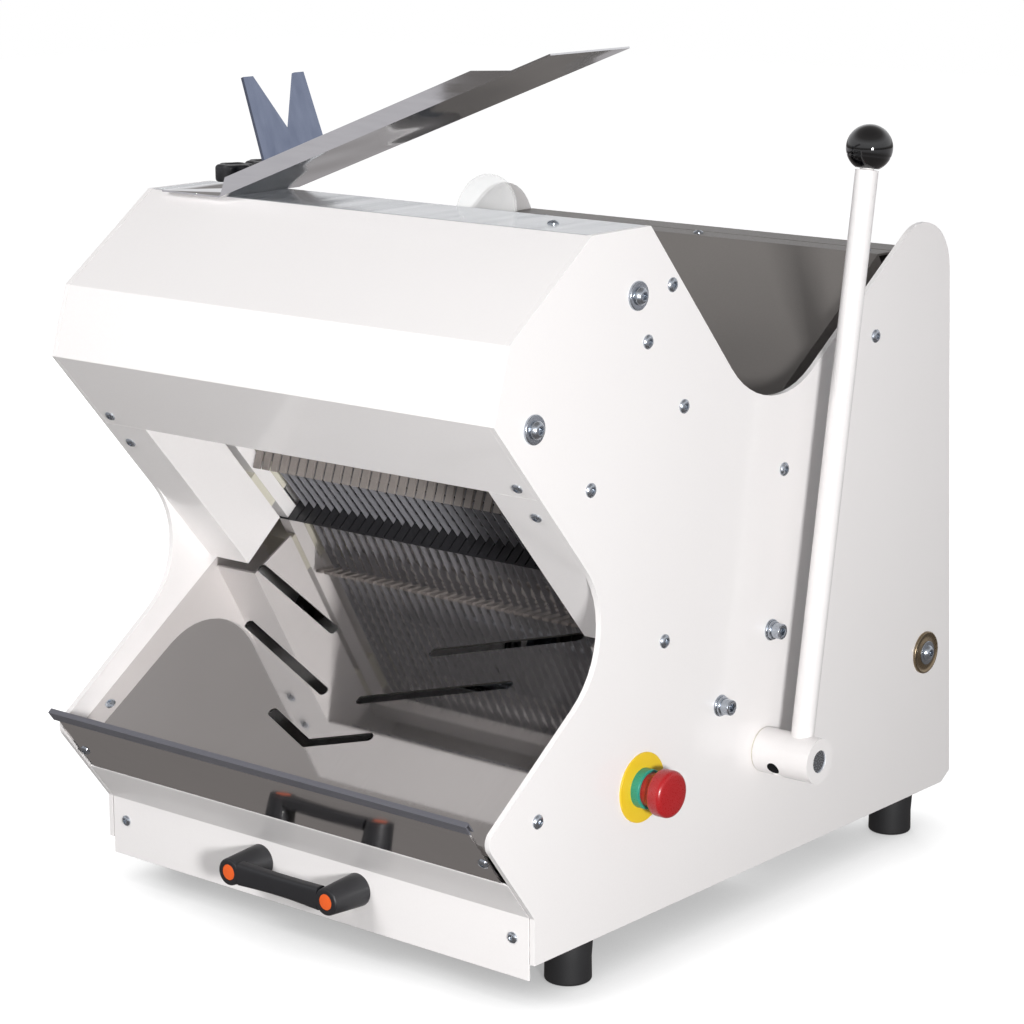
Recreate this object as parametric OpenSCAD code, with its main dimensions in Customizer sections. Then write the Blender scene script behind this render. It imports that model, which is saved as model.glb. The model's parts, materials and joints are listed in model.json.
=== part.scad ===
// Table-top bread slicer with a hand lever.
// +X is the lever side, -Y is the outlet, +Z is up; the origin is under the middle, on the floor.

/* [Side panels] */
// Distance between the outer faces of the two side panels
body_w = 500; // [480:2:520]
// Depth of a side panel from the drawer front to its rear edge
panel_len = 626; // [606:2:646]
// Height of a side panel to its flat top
panel_h = 582; // [566:2:600]
// Thickness of a side panel
panel_t = 5; // [4:0.5:6]
// Width of the foot flange folded in along the bottom
flange_w = 48; // [46:1:50]

/* [Feet and ties] */
// Radius of a rubber foot
foot_r = 21; // [16:1:22]
// Height of a rubber foot
foot_h = 40; // [30:1:45]
// Radius of the three tie bars between the panels
tie_r = 10; // [8:1:12]

/* [Bread path] */
// Distance of the bread floor under the rear slope of the hopper
floor_drop = 25; // [22:1:28]
// Half width of the fixed bread floor
floor_half_w = 200; // [190:1:200]
// Thickness of the stainless sheets
sheet_t = 2; // [1.5:0.5:2.5]
// Distance of the blades behind the underside of the nose
blade_setback = 85; // [80:1:90]
// Width of a crumb slot in the outlet tray
slot_w = 9; // [6:1:11]
// Distance from the middle to the inner face of an outlet guide
guide_x = 196; // [190:1:198]
// Length of the nose cover under the nose
cover_under = 88; // [80:1:96]

/* [Blades] */
// Distance from one blade to the next
blade_pitch = 11; // [10:0.5:11]
// Number of blades in each of the two frames
blades_per_frame = 18; // [14:1:18]
// Depth of a blade from its back to the tips of its teeth
blade_depth = 7; // [6.5:0.5:10]
// Thickness of a blade
blade_t = 0.7; // [0.5:0.1:0.9]
// Distance from one tooth to the next
tooth_pitch = 12; // [8:1:16]
// Height of a tooth
tooth_h = 2; // [1:0.5:3]
// Travel of a blade frame to each side of its middle place
stroke = 12; // [8:1:12]

/* [Drive] */
// Distance of the crankshaft under the bread floor, along the blades
crank_drop = 125; // [123:1:128]
// Radius of the crankshaft
shaft_r = 10; // [8:0.5:10]
// Radius of the driven pulley
driven_r = 45; // [40:1:48]
// Radius of the motor pulley
motor_pulley_r = 22; // [18:1:26]
// Radius of the motor
motor_r = 62; // [55:1:66]
// Length of the motor housing
motor_len = 170; // [150:2:190]

/* [Lever and pusher] */
// Distance from the lever's axis to the middle of its ball
lever_len = 526; // [480:2:560]
// Angle by which the lever leans back at rest
lever_lean = 9.4; // [5:0.1:12]
// Radius of the lever rod
rod_r = 10; // [8:0.5:11]
// Radius of the ball knob
ball_r = 20; // [16:1:24]
// Radius of the lever hub
hub_r = 20; // [18:0.5:24]
// Distance of the hub's outer end from the panel
hub_reach = 59; // [56:1:64]
// Distance of the pusher's lower edge behind the blades
pusher_start = 176; // [174:1:184]
// Place of the pusher's upper edge as a share of the panel's depth
pusher_top_share = 0.858; // [0.846:0.002:0.864]
// Half width of the pusher plate
pusher_half_w = 212; // [212:0.5:213]

/* [Drawer] */
// Depth of the crumb drawer
drawer_len = 350; // [320:2:360]
// Height of the drawer front below its bend
drawer_h = 54; // [52:0.5:57]
// Distance between the two legs of the drawer handle
handle_w = 114; // [96:2:128]
// Distance of the handle's front from the drawer
handle_reach = 40; // [34:1:48]
// Radius of a handle leg at its front
handle_r = 12; // [11:0.5:13]

/* [Emergency stop] */
// Radius of the yellow legend disc
legend_r = 30; // [26:1:34]
// Radius of the mushroom button
button_r = 20; // [18:1:24]
// Travel of the button
button_travel = 5; // [3:0.5:5]

/* [Bag trough] */
// Length of the rising floor of the bag trough
trough_len = 393; // [360:2:420]
// Width of the bag trough
trough_w = 100; // [90:1:106]
// Slope of the bag trough
trough_a = 20.5; // [16:0.5:24]
// Height of the flanges along the trough
trough_flange_h = 14; // [10:1:18]
// Height of the notched end plate
notch_plate_h = 88; // [78:1:98]
// Width of the notched end plate
notch_plate_w = 80; // [70:1:88]
// Radius of a clamp knob
knob_r = 17; // [15:1:18]

/* [Hidden] */
// How far a cut passes its piece, and the gaps between pieces
overrun = 1;
seat_gap = 0.3;
run_fit = 0.05;
round_fn = 48;
arc_steps = 12;

// Outline of a side panel: depth, height and corner radius as shares of its length and height
panel_shares = [
  [0, 0, 0],
  [0.978, 0, 0],
  [1, 0.0155, 0],
  [0.949, 1.003, 0.081],
  [0.501, 0.666, 0.158],
  [0.234, 1, 0],
  [0.114, 1, 0],
  [-0.047, 0.8735, 0],
  [-0.0767, 0.770, 0],
  [0.1906, 0.432, 0.1333],
  [-0.096, 0.2038, 0.0206],
  [0, 0.0679, 0]
];
// Places on a panel as shares of its length and height
screw_shares = [
  [0.280, 0.913],
  [0.229, 0.840],
  [0.308, 0.737],
  [0.112, 0.652],
  [0.540, 0.605],
  [0.270, 0.403],
  [0.006, 0.208],
  [0.762, 0.773]
];
tie_shares = [[0.207, 0.907], [-0.001, 0.755], [0.919, 0.235]];
lever_share = [0.503, 0.182];
estop_share = [0.223, 0.198];
motor_share = [0.751, 0.163];
foot_shares = [0.12, 0.90];
gland_share = [0.90, 0.10];
// Crumb slots: inner and outer end across the tray, and distance down the tray, as shares
slot_shares = [[0.24, 0.755, 0.43], [0.09, 0.616, 0.64], [0, 0.228, 0.82]];
slot_a = 21;

function unit(v) = v / norm(v);
function turned(v) = [-v[1], v[0]];
function on_panel(share) = [share[0] * panel_len, share[1] * panel_h];
function corner(i) = on_panel(panel_shares[i]);
function meet(p, u, q, v) = p + u * (((q - p) * turned(v)) / (u * turned(v)));
function polar(r, a) = [r * cos(a), r * sin(a)];

// Arc of radius r that rounds the corner p between its neighbours
function rounded_corner(before, p, after, r) =
  r == 0 ? [p] :
  let (
    da = unit(before - p),
    dc = unit(after - p),
    half = acos(da * dc) / 2,
    centre = p + unit(da + dc) * r / sin(half),
    first = p + da * r / tan(half) - centre,
    last = p + dc * r / tan(half) - centre,
    a0 = atan2(first[1], first[0]),
    turn = (atan2(last[1], last[0]) - a0 + 540) % 360 - 180
  )
  [for (k = [0:arc_steps]) centre + polar(r, a0 + turn * k / arc_steps)];
function rounded(pts, radii) =
  let (n = len(pts))
  [for (i = [0:n - 1]) each rounded_corner(pts[(i + n - 1) % n], pts[i], pts[(i + 1) % n], radii[i])];

// Outline of a bent sheet: the bend line and its copy at a distance t to the left
function mitred(pts, i, t) =
  let (
    a = i > 0 ? unit(pts[i] - pts[i - 1]) : unit(pts[1] - pts[0]),
    c = i < len(pts) - 1 ? unit(pts[i + 1] - pts[i]) : a,
    m = unit(turned(a) + turned(c))
  )
  pts[i] + m * t / (m * turned(a));
function sheet(pts, t) = concat(pts, [for (i = [len(pts) - 1:-1:0]) mitred(pts, i, t)]);

// Main places in the side view, as [y, z]
half_w = body_w / 2;
in_x = half_w - panel_t;
heel = corner(2);
hump = corner(3);
valley = corner(4);
peak = corner(5);
crease = corner(6);
nose_top = corner(7);
nose_low = corner(8);
mouth = corner(9);
chin = corner(10);
sill = corner(11);

// Feed direction, blade direction, and the crossing of the blades and the bread floor
feed = unit(hump - valley);
feed_up = turned(feed);
feed_a = atan2(feed[1], feed[0]);
blade = unit(nose_low - mouth);
blade_back = -turned(blade);
blade_a = atan2(blade[1], blade[0]);
floor_point = valley - feed_up * floor_drop;
crossing = meet(floor_point, feed, mouth + blade_back * blade_setback, blade);
function fp(d, h) = crossing + feed * d + feed_up * h;
function bp(s, w) = crossing + blade * s + blade_back * w;
function floor_at(w) = crossing + feed * (w / (feed * blade_back));
function rise_of(p) = (p - crossing) * blade;
pusher_end = (pusher_top_share * panel_len - crossing[0]) / feed[0];

// Blade frames: depth of a bar, gap between the frames, heights along the blades
bar_w = 14;
bar_h = 20;
frame_gap = blade_depth + 2 * overrun;
blade_hook = 6;
frame_top = 262;
frame_low = -58;
rail_w = 12;
rail_in = 204;
rail_out = rail_in + rail_w;
comb_half_w = rail_in - overrun;
blade_count = 2 * blades_per_frame;
function blade_x(i) = (i - (blade_count - 1) / 2) * blade_pitch;

// Guide comb at the bread floor
comb_side = 4;
comb_w = frame_gap / 2 + bar_w + comb_side;
comb_t = 8;
comb_room = 1;
comb_slot = blade_t + comb_room;
comb_rim = 3;

// Crankshaft
crank = bp(-crank_drop, 0);
throw = stroke;
pin_r = 8;
web_rim = 6;
web_r = throw + pin_r + web_rim;
web_t = 6;
conrod_t = 8.5;
crank_clear = 0.5;
web_x = rail_out - web_t + crank_clear;
pin_x = web_x + web_t;
pin_len = conrod_t + 2 * overrun;
outer_web_x = pin_x + pin_len;
outer_web_t = 4.5;
stub_x = outer_web_x + outer_web_t;
bearing_t = in_x - stub_x - crank_clear;
bearing_bolt = 45;
wrist_s = -35;
wrist_w = 9;
wrist_r = 6;
wrist_gap = 0.4;
conrod_x = pin_x + overrun;
eye_r = 11;
big_end_r = 14;
conrod_bar = 14;
pulley_x = 80;
pulley_w = 20;
pulley_rim = 4;
belt_t = 5;
belt_in = 2;
motor_at = on_panel(motor_share);
motor_shaft_r = 8;

// Lever, shaft and pusher
lever_at = on_panel(lever_share);
bush_r = 14;
bush_flange_r = 19;
bush_flange_t = 1.5;
hub_start = half_w + bush_flange_t + seat_gap;
rod_out = 38.5;
rod_x = half_w + rod_out;
rod_seat_gap = 3;
rod_seat = shaft_r + rod_seat_gap;
stud_r = 6;
stud_len = 14;
ball_seat_share = 0.9;
rod_end = lever_len - ball_r * ball_seat_share;
set_screw_r = 5;
set_screw_deep = 6;
set_screw_x = 23;
set_screw_a = 150;
arm_t = 8;
arm_x = pusher_half_w - sheet_t - arm_t;
arm_boss_r = 22;
arm_knee_back = 88;
arm_knee_up = 84;
arm_knee = [arm_knee_back, arm_knee_up];
arm_half = 17;
arm_seat_low = 230;
arm_seat_high = 345;
side_flange_h = 27;
top_flange = 26;
lever_dir = [sin(lever_lean), cos(lever_lean)];

// Hold-down comb
comb_rise = 112;
comb_back = 53;
comb_pivot = bp(comb_rise, comb_back);
comb_len = 82;
comb_lean = 19;
comb_band = 30;
finger_w = 7.5;
finger_t = 2.5;
comb_rod_r = 5;
comb_bush_r = 10;
comb_bush_t = 12;

// Covers and sheets
cover_lower = nose_low + unit(mouth - nose_low) * cover_under;
nose_dir = unit(crease - nose_top);
top_from = crease + [sheet_t * nose_dir[1] + seat_gap, 0];
skirt_len = 95;
slant = unit(chin - sill);
slant_a = atan2(slant[1], slant[0]);
apron_from = 45;
apron_to = 120;
apron_low = sill + slant * apron_from;
apron_high = sill + slant * apron_to;
apron_in = turned(slant) * -1;
apron_gap = 1.5;
apron_narrow = 6;
trim_h = 9;
trim_t = 1.5;
trim_over = 4;
tray_flange_h = 28;
tray_lip = 12;
tray_corner = meet(crossing, feed, sill + apron_in * 2 * sheet_t, slant);
tray_len = norm(tray_corner - crossing);
guide_low = 15;
guide_high = rise_of(cover_lower);
guide_wall_high = 230;
guide_wall_w = 30;
floor_lip = 20;
floor_gap = 6;
floor_end = pusher_start - floor_gap;
crossbar_w = 36;
crossbar_d = 14;
crossbar_h = 26;
stiffener_h = 30;
stiffener_x = 15;
stiffener_drop = 43;
stiffener_from = 210;
stiffener_back = 45;
stiffener_to = pusher_end - stiffener_back;
rear_dir = unit(hump - heel);
rear_gap = 6;
strip_gap = 2;
strip_drop = 27;
strip_z = fp(pusher_end, 0)[1];
strip_y = fp(pusher_end, 0)[0] + top_flange + strip_gap;
rear_low = heel + rear_dir * rear_gap;
rear_high = meet(heel, rear_dir, [0, strip_z - strip_drop], [1, 0]);
vent_w = 260;
vent_h = 7;
vent_pitch = 18;
vent_count = 6;
vent_from = 300;

// Fasteners
screw_r = 6;
screw_h = 3;
screw_hole_r = 2.5;
screw_shank_r = 2.2;
small_screw_share = 0.8;
tie_washer_r = 12;
tie_washer_t = 2.5;
rear_washer_r = 20;
tie_head_r = 7.5;
tie_head_h = 5;
tie_shank_r = 4;
tie_hole_r = 4.4;
collar_r = 9.5;
collar_h = 4.5;
socket_r = 6.8;
socket_h = 8;
collar_shank_r = 5;
collar_hole_r = 5.3;
bolt_proud = collar_h + socket_h;

// Emergency stop
estop_at = on_panel(estop_share);
legend_t = 1.5;
collar_ring_r = 17;
collar_ring_h = 8;
stem_r = 8;
thread_r = 11;
thread_hole_r = 11.3;
neck_r = 14.5;
neck_from = legend_t + button_travel + overrun;
flare_from = legend_t + collar_ring_h + button_travel + overrun / 2;
flare_len = 4;
button_reach = 34;
button_rim = 6;
estop_block = 36;
estop_depth = 48;
stem_in = 12;

// Drawer and runners
drawer_gap = 1;
drawer_x = in_x - drawer_gap;
drawer_bend = sill;
drawer_low = sill[1] - drawer_h;
drawer_edge = sill + slant * (apron_from - apron_gap);
box_half = in_x - flange_w - seat_gap;
box_lift = 3;
box_low = drawer_low + box_lift;
box_h = 44;
box_t = 1.5;
runner_t = 2.5;
runner_w = 14;
handle_z = 20;
handle_taper = 2.5;
handle_bar_t = 12;
handle_bar_h = 17;
cap_r = 7;
cap_t = 1.5;
drawer_screw_x = 17;
drawer_screw_z = 19;

// Bag trough: it stands on the top plate near the left panel
trough_t = 1.5;
trough_lead = 10;
trough_inset = 28;
trough_foot = 70;
trough_front = crease[0] - trough_lead;
trough_base = [-half_w + trough_inset, panel_h];
trough_bend = trough_base + [trough_foot, 0];
trough_dir = [cos(trough_a), sin(trough_a)];
trough_up = turned(trough_dir);
function tp(t, h) = trough_bend + trough_dir * t + trough_up * h;
trough_taper = 14;
trough_taper_end = 42;
trough_flange_end = 40;
notch_at = 52;
notch_t = 3;
notch_depth = 50;
notch_foot = 18;
notch_horn = 12;
notch_inset = 3;
knob_inset = 10;
knob_from = 30;
knob_step = 36;
knob_x = trough_bend[0] - knob_inset;
knob_y = [trough_front + knob_from, trough_front + knob_from + knob_step];
knob_h = 15;
knob_dip = 3.5;
knob_lobes = 6;
knob_sides = 72;
knob_rim_share = 0.93;
knob_rim = 2.5;
knob_stem_r = 7;
knob_stem_h = 9;
knob_stud_r = 3;
knob_stud_len = 9;
knob_stud_hole = knob_stud_r + run_fit;

// Clear shield behind the nose with a half-round tab bent up to lean back
shield_t = 3;
shield_half_w = 238;
shield_drop = 4;
tab_r = 32;
tab_x = 74;
tab_lean = 12;

// Overall reach, for the origin
x_low = -half_w - bolt_proud;
x_high = half_w + max(hub_reach, rod_out + ball_r);
mid_x = (x_low + x_high) / 2;
mid_y = (apron_high[0] + (slant[0] - slant[1]) * trim_t + panel_len) / 2;

white = [0.93, 0.92, 0.90];
steel = [0.72, 0.72, 0.73];
zinc = [0.62, 0.64, 0.67];
black = [0.10, 0.10, 0.11];

// Puts the side view's own axes onto the floor under the middle of the object
module place() {
  translate([-mid_x, -mid_y, foot_h]) children();
}

module both_sides() {
  children();
  mirror([1, 0, 0]) children();
}

// A side-view shape carried across the machine
module slab(x0, x1) {
  translate([x0, 0, 0]) rotate([90, 0, 90]) linear_extrude(height = x1 - x0) children();
}

// A front-view shape carried from front to back
module depth_slab(y0, y1) {
  translate([0, y1, 0]) rotate([90, 0, 0]) linear_extrude(height = y1 - y0) children();
}

module rod_x(p, r, x0, x1) {
  translate([x0, p[0], p[1]]) rotate([0, 90, 0]) cylinder(r = r, h = x1 - x0, $fn = round_fn);
}

// A box in blade coordinates: across, along the blades and behind them, each as [low, high]
module blade_box(x, s, w) {
  translate([0, crossing[0], crossing[1]]) rotate([blade_a - 180, 0, 0])
    translate([x[0], -s[1], w[0]]) cube([x[1] - x[0], s[1] - s[0], w[1] - w[0]]);
}

module on_floor() {
  translate([0, crossing[0], crossing[1]]) rotate([feed_a, 0, 0]) children();
}

function panel_outline() =
  rounded([for (i = [0:len(panel_shares) - 1]) corner(i)], [for (s = panel_shares) s[2] * panel_h]);
function bearing_bolts() = [crank - feed * bearing_bolt, crank + feed * bearing_bolt];

// One side panel with its foot flange and holes
module panel() {
  difference() {
    union() {
      slab(in_x, half_w) polygon(panel_outline());
      translate([in_x - flange_w, panel_t, 0])
        cube([flange_w + panel_t, panel_shares[1][0] * panel_len - 2 * panel_t, panel_t]);
    }
    for (s = screw_shares) rod_x(on_panel(s), screw_hole_r, in_x - overrun, half_w + overrun);
    for (s = tie_shares) rod_x(on_panel(s), tie_hole_r, in_x - overrun, half_w + overrun);
    for (p = bearing_bolts()) rod_x(p, collar_hole_r, in_x - overrun, half_w + overrun);
    rod_x(lever_at, bush_r + run_fit, in_x - overrun, half_w + overrun);
  }
}

module right_side_panel() {
  color(white) place() difference() {
    panel();
    rod_x(estop_at, thread_hole_r, in_x - overrun, half_w + overrun);
  }
}

module left_side_panel() {
  color(white) place() difference() {
    mirror([1, 0, 0]) panel();
    rod_x(on_panel(gland_share), gland_r + run_fit, -half_w - overrun, -in_x + overrun);
  }
}

module nose_cover() {
  color(white) place()
    slab(-in_x, in_x) polygon(sheet([cover_lower, nose_low, nose_top, crease], -sheet_t));
}

module top_plate() {
  skirt_end = peak + unit(valley - peak) * skirt_len;
  color(steel) place() difference() {
    slab(-in_x, in_x) polygon(sheet([top_from, peak, skirt_end], -sheet_t));
    for (y = knob_y)
      translate([knob_x, y, panel_h - sheet_t - overrun])
        cylinder(r = knob_stud_hole, h = sheet_t + 2 * overrun, $fn = round_fn);
  }
}

// The leaning front's own axes: across, up its slope and out of it
module on_slant() {
  translate([0, sill[0], sill[1]]) rotate([slant_a, 0, 0]) children();
}

module front_apron() {
  side = drawer_x - apron_narrow;
  color(steel) place() on_slant()
    translate([-side, apron_from, -sheet_t]) cube([2 * side, apron_to - apron_from, sheet_t]);
}

// U-shaped trim over the apron's upper edge
module apron_trim() {
  side = drawer_x - apron_narrow + trim_over;
  color("slategray") place() on_slant() difference() {
    translate([-side, apron_to - trim_h, -sheet_t - trim_t])
      cube([2 * side, trim_h + trim_t, sheet_t + 2 * trim_t]);
    translate([-side - overrun, apron_to - trim_h - overrun, -sheet_t])
      cube([2 * (side + overrun), trim_h + overrun, sheet_t]);
  }
}

// One straight crumb slot with round ends, cut down through the tray
module crumb_slot(inner, outer, down) {
  run = (outer - inner) / cos(slot_a);
  translate([inner, -down, -tray_flange_h]) rotate([0, 0, slot_a]) {
    translate([0, -slot_w / 2, 0]) cube([run, slot_w, 2 * tray_flange_h]);
    cylinder(d = slot_w, h = 2 * tray_flange_h, $fn = round_fn);
    translate([run, 0, 0]) cylinder(d = slot_w, h = 2 * tray_flange_h, $fn = round_fn);
  }
}

module outlet_tray() {
  rear = floor_at(-comb_w - seat_gap);
  lip_top = tray_corner + slant * tray_lip;
  flange_from = tray_corner + feed * tray_flange_h;
  color(steel) place() difference() {
    union() {
      slab(-in_x, in_x) polygon(sheet([rear, tray_corner, lip_top], sheet_t));
      both_sides() slab(in_x - sheet_t, in_x)
        polygon([rear, flange_from, flange_from - feed_up * tray_flange_h, rear - feed_up * tray_flange_h]);
    }
    on_floor() for (s = slot_shares) both_sides()
      crumb_slot(s[0] * in_x, s[1] * in_x, s[2] * tray_len);
  }
}

// Bent cover beside the outlet: a face flush with the nose and a wall back to the blade frames
module outlet_guide() {
  front = -blade_setback;
  slab(guide_x, in_x)
    polygon([bp(guide_low, front), bp(guide_high, front), bp(guide_high, front + sheet_t),
      bp(guide_low, front + sheet_t)]);
  slab(guide_x, guide_x + sheet_t)
    polygon([bp(guide_low, front), bp(guide_high, front), bp(guide_high, front + sheet_t),
      bp(guide_wall_high, front + sheet_t), bp(guide_wall_high, -guide_wall_w),
      bp(guide_low, -guide_wall_w)]);
}

module right_outlet_guide() {
  color(white) place() outlet_guide();
}

module left_outlet_guide() {
  color(white) place() mirror([1, 0, 0]) outlet_guide();
}

module infeed_floor() {
  front = floor_at(comb_w + seat_gap);
  color(steel) place() slab(-floor_half_w, floor_half_w)
    polygon(sheet([front, fp(floor_end, 0), fp(floor_end, -floor_lip)], -sheet_t));
}

module floor_crossbar() {
  top = floor_at(crossbar_w) - feed_up * sheet_t;
  back = top + feed * crossbar_d;
  color(zinc) place() slab(-in_x, in_x)
    polygon(sheet([back, top, top - feed_up * crossbar_h], 2 * sheet_t));
}

module rear_cover() {
  color(white) place() difference() {
    slab(-in_x, in_x) polygon(sheet([rear_low, rear_high], sheet_t));
    for (k = [0:vent_count - 1])
      translate([-vent_w / 2, 0, vent_from + k * vent_pitch])
        cube([vent_w, 2 * panel_len, vent_h]);
  }
}

module rear_top_strip() {
  shoulder = meet(heel, rear_dir, [0, strip_z], [1, 0]);
  color(steel) place() slab(-in_x, in_x)
    polygon(sheet([rear_high + rear_dir * seat_gap, shoulder, [strip_y, strip_z]], sheet_t));
}

// Rails along the inner faces of the panels, parallel to the bread floor
module side_stiffeners() {
  h = stiffener_drop;
  color(zinc) place() both_sides() slab(in_x - stiffener_x, in_x)
    polygon(sheet([fp(stiffener_from, -h - stiffener_h / 2), fp(stiffener_to, -h - stiffener_h / 2)],
      stiffener_h));
}

module tie_bars() {
  color(zinc) place() for (s = tie_shares) difference() {
    rod_x(on_panel(s), tie_r, -in_x, in_x);
    both_sides() rod_x(on_panel(s), tie_hole_r, in_x - tie_r * 2, in_x + overrun);
  }
}

module rubber_feet() {
  color(black) place() both_sides() for (share = foot_shares)
    translate([in_x - foot_r, share * panel_len, -foot_h])
      cylinder(r1 = foot_r - overrun, r2 = foot_r, h = foot_h, $fn = round_fn);
}

module blade_guide_comb() {
  color(black) place() difference() {
    blade_box([-in_x, in_x], [-comb_t, 0], [-comb_w, comb_w]);
    both_sides() blade_box([comb_half_w, in_x - 2 * comb_rim], [-comb_t - overrun, overrun],
      [-comb_w + comb_rim, comb_w - comb_rim]);
    for (i = [0:blade_count - 1])
      blade_box([blade_x(i) - comb_slot / 2, blade_x(i) + comb_slot / 2],
        [-comb_t - overrun, overrun], [-comb_w + comb_rim, comb_w - comb_rim]);
  }
}

// Nylon blocks on the panels: two pairs that guide the frames, one pair for the comb's rod
guide_lip = 8;
guide_h = 40;
guide_rises = [24, 196];
module frame_guide(rise) {
  side = frame_gap / 2 + bar_w + seat_gap;
  s = [rise, rise + guide_h];
  blade_box([rail_out + seat_gap, in_x], s, [-side - guide_lip, side + guide_lip]);
  rib = frame_gap / 2 - seat_gap;
  for (w = [[-side - guide_lip, -side], [side, side + guide_lip], [-rib, rib]])
    blade_box([rail_in, in_x], s, w);
}

module frame_guides() {
  color("ivory") place() both_sides() {
    for (rise = guide_rises) frame_guide(rise);
    difference() {
      rod_x(comb_pivot, comb_bush_r, in_x - comb_bush_t, in_x);
      rod_x(comb_pivot, comb_rod_r + run_fit, in_x - comb_bush_t - overrun, in_x + overrun);
    }
  }
}

motor_plate_t = 4;
motor_foot_w = 90;
motor_foot_len = 130;
motor_fins = 9;
motor_fin_t = 4;
motor_fin_h = 5;
motor_gap = 14;
motor_x0 = pulley_x - motor_gap - motor_len;

module motor() {
  plate_top = panel_t + motor_plate_t;
  color("slategray") place() difference() {
    union() {
      rod_x(motor_at, motor_r - motor_fin_h, motor_x0, motor_x0 + motor_len);
      for (k = [0:motor_fins - 1])
        rod_x(motor_at, motor_r, motor_x0 + (k + 1 / 2) * motor_len / motor_fins,
          motor_x0 + (k + 1 / 2) * motor_len / motor_fins + motor_fin_t);
      translate([motor_x0 + (motor_len - motor_foot_len) / 2, motor_at[0] - motor_foot_w / 2, plate_top])
        cube([motor_foot_len, motor_foot_w, motor_at[1] - plate_top]);
    }
    rod_x(motor_at, motor_shaft_r + run_fit, motor_x0 + motor_len / 2, motor_x0 + motor_len + overrun);
  }
}

module motor_plate() {
  color(zinc) place() translate([-in_x, motor_at[0] - motor_r - 2 * tie_r, panel_t])
    cube([2 * in_x, 2 * motor_r + 4 * tie_r, motor_plate_t]);
}

bearing_r = 27;
bearing_ear_r = 13;
module crank_bearing() {
  a = bearing_bolts()[0];
  b = bearing_bolts()[1];
  x0 = in_x - bearing_t;
  difference() {
    union() {
      rod_x(crank, bearing_r, x0, in_x);
      for (p = [a, b]) rod_x(p, bearing_ear_r, x0, in_x);
      slab(x0, in_x)
        polygon([a + feed_up * bearing_ear_r, a - feed_up * bearing_ear_r, crank - feed_up * bearing_r,
          b - feed_up * bearing_ear_r, b + feed_up * bearing_ear_r, crank + feed_up * bearing_r]);
    }
    rod_x(crank, shaft_r + run_fit, x0 - overrun, in_x + overrun);
    for (p = [a, b]) rod_x(p, collar_hole_r, x0 - overrun, in_x + overrun);
  }
}

module crank_bearings() {
  color("dimgray") place() both_sides() crank_bearing();
}

module lever_bushes() {
  color("ivory") place() both_sides() difference() {
    union() {
      rod_x(lever_at, bush_r, in_x, half_w);
      rod_x(lever_at, bush_flange_r, half_w, half_w + bush_flange_t);
      rod_x(lever_at, bush_flange_r, in_x - bush_flange_t, in_x);
    }
    rod_x(lever_at, shaft_r + run_fit, in_x - bush_flange_t - overrun, half_w + bush_flange_t + overrun);
  }
}

// L-shaped ledges under the foot flanges that carry the drawer
module drawer_runners() {
  web = box_half + seat_gap;
  low = box_low - seat_gap - runner_t;
  y0 = panel_t + sheet_t;
  color(zinc) place() both_sides() {
    translate([web, y0, low]) cube([runner_t, drawer_len - 2 * foot_r, -low]);
    translate([web - runner_w, y0, low]) cube([runner_w + runner_t, drawer_len - 2 * foot_r, runner_t]);
  }
}

module belt_outline(t) {
  hull() {
    translate(crank) circle(r = driven_r - belt_in + t, $fn = round_fn);
    translate(motor_at) circle(r = motor_pulley_r - belt_in + t, $fn = round_fn);
  }
}

module drive_belt() {
  x0 = pulley_x + pulley_rim + seat_gap;
  x1 = pulley_x + pulley_w - pulley_rim - seat_gap;
  color(black) place() slab(x0, x1) difference() {
    belt_outline(belt_t + seat_gap);
    belt_outline(seat_gap);
  }
}

gland_r = 8;
gland_flange_r = 12;
gland_len = 15;
gland_bore_r = 4;
module cable_gland() {
  at = on_panel(gland_share);
  color(black) place() difference() {
    union() {
      rod_x(at, gland_r, -half_w - gland_len, -in_x + panel_t);
      rod_x(at, gland_flange_r, -in_x, -in_x + panel_t / 2);
      rod_x(at, gland_flange_r, -half_w - gland_len / 2, -half_w);
    }
    rod_x(at, gland_bore_r, -half_w - gland_len - overrun, -in_x + panel_t + overrun);
  }
}

module estop_legend() {
  color("gold") place() difference() {
    rod_x(estop_at, legend_r, half_w, half_w + legend_t);
    rod_x(estop_at, thread_hole_r, half_w - overrun, half_w + legend_t + overrun);
  }
}

module estop_collar() {
  x0 = half_w + legend_t;
  color("mediumaquamarine") place() difference() {
    rod_x(estop_at, collar_ring_r, x0, x0 + collar_ring_h);
    rod_x(estop_at, neck_r + run_fit, x0 - overrun, x0 + collar_ring_h + overrun);
  }
}

module estop_body() {
  h = estop_block / 2;
  color(black) place() difference() {
    union() {
      rod_x(estop_at, thread_r, in_x - overrun, half_w + legend_t);
      translate([in_x - estop_depth, estop_at[0] - h, estop_at[1] - h])
        cube([estop_depth, estop_block, estop_block]);
    }
    rod_x(estop_at, stem_r + run_fit, half_w - stem_in - 2 * button_travel, half_w + legend_t + overrun);
  }
}

// Mushroom button: its neck slides in the collar, then it flares out to the head
module estop_button() {
  rim = [button_r - button_rim, button_reach - button_rim];
  color("crimson") place() {
    rod_x(estop_at, stem_r, half_w - stem_in, half_w + neck_from + overrun);
    translate([half_w, estop_at[0], estop_at[1]]) rotate([0, 90, 0]) rotate_extrude($fn = round_fn)
      polygon(concat(
        [[0, neck_from], [neck_r, neck_from], [neck_r, flare_from], [button_r, flare_from + flare_len]],
        [for (k = [0:arc_steps]) rim + polar(button_rim, 90 * k / arc_steps)], [[0, button_reach]]));
  }
}

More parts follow.
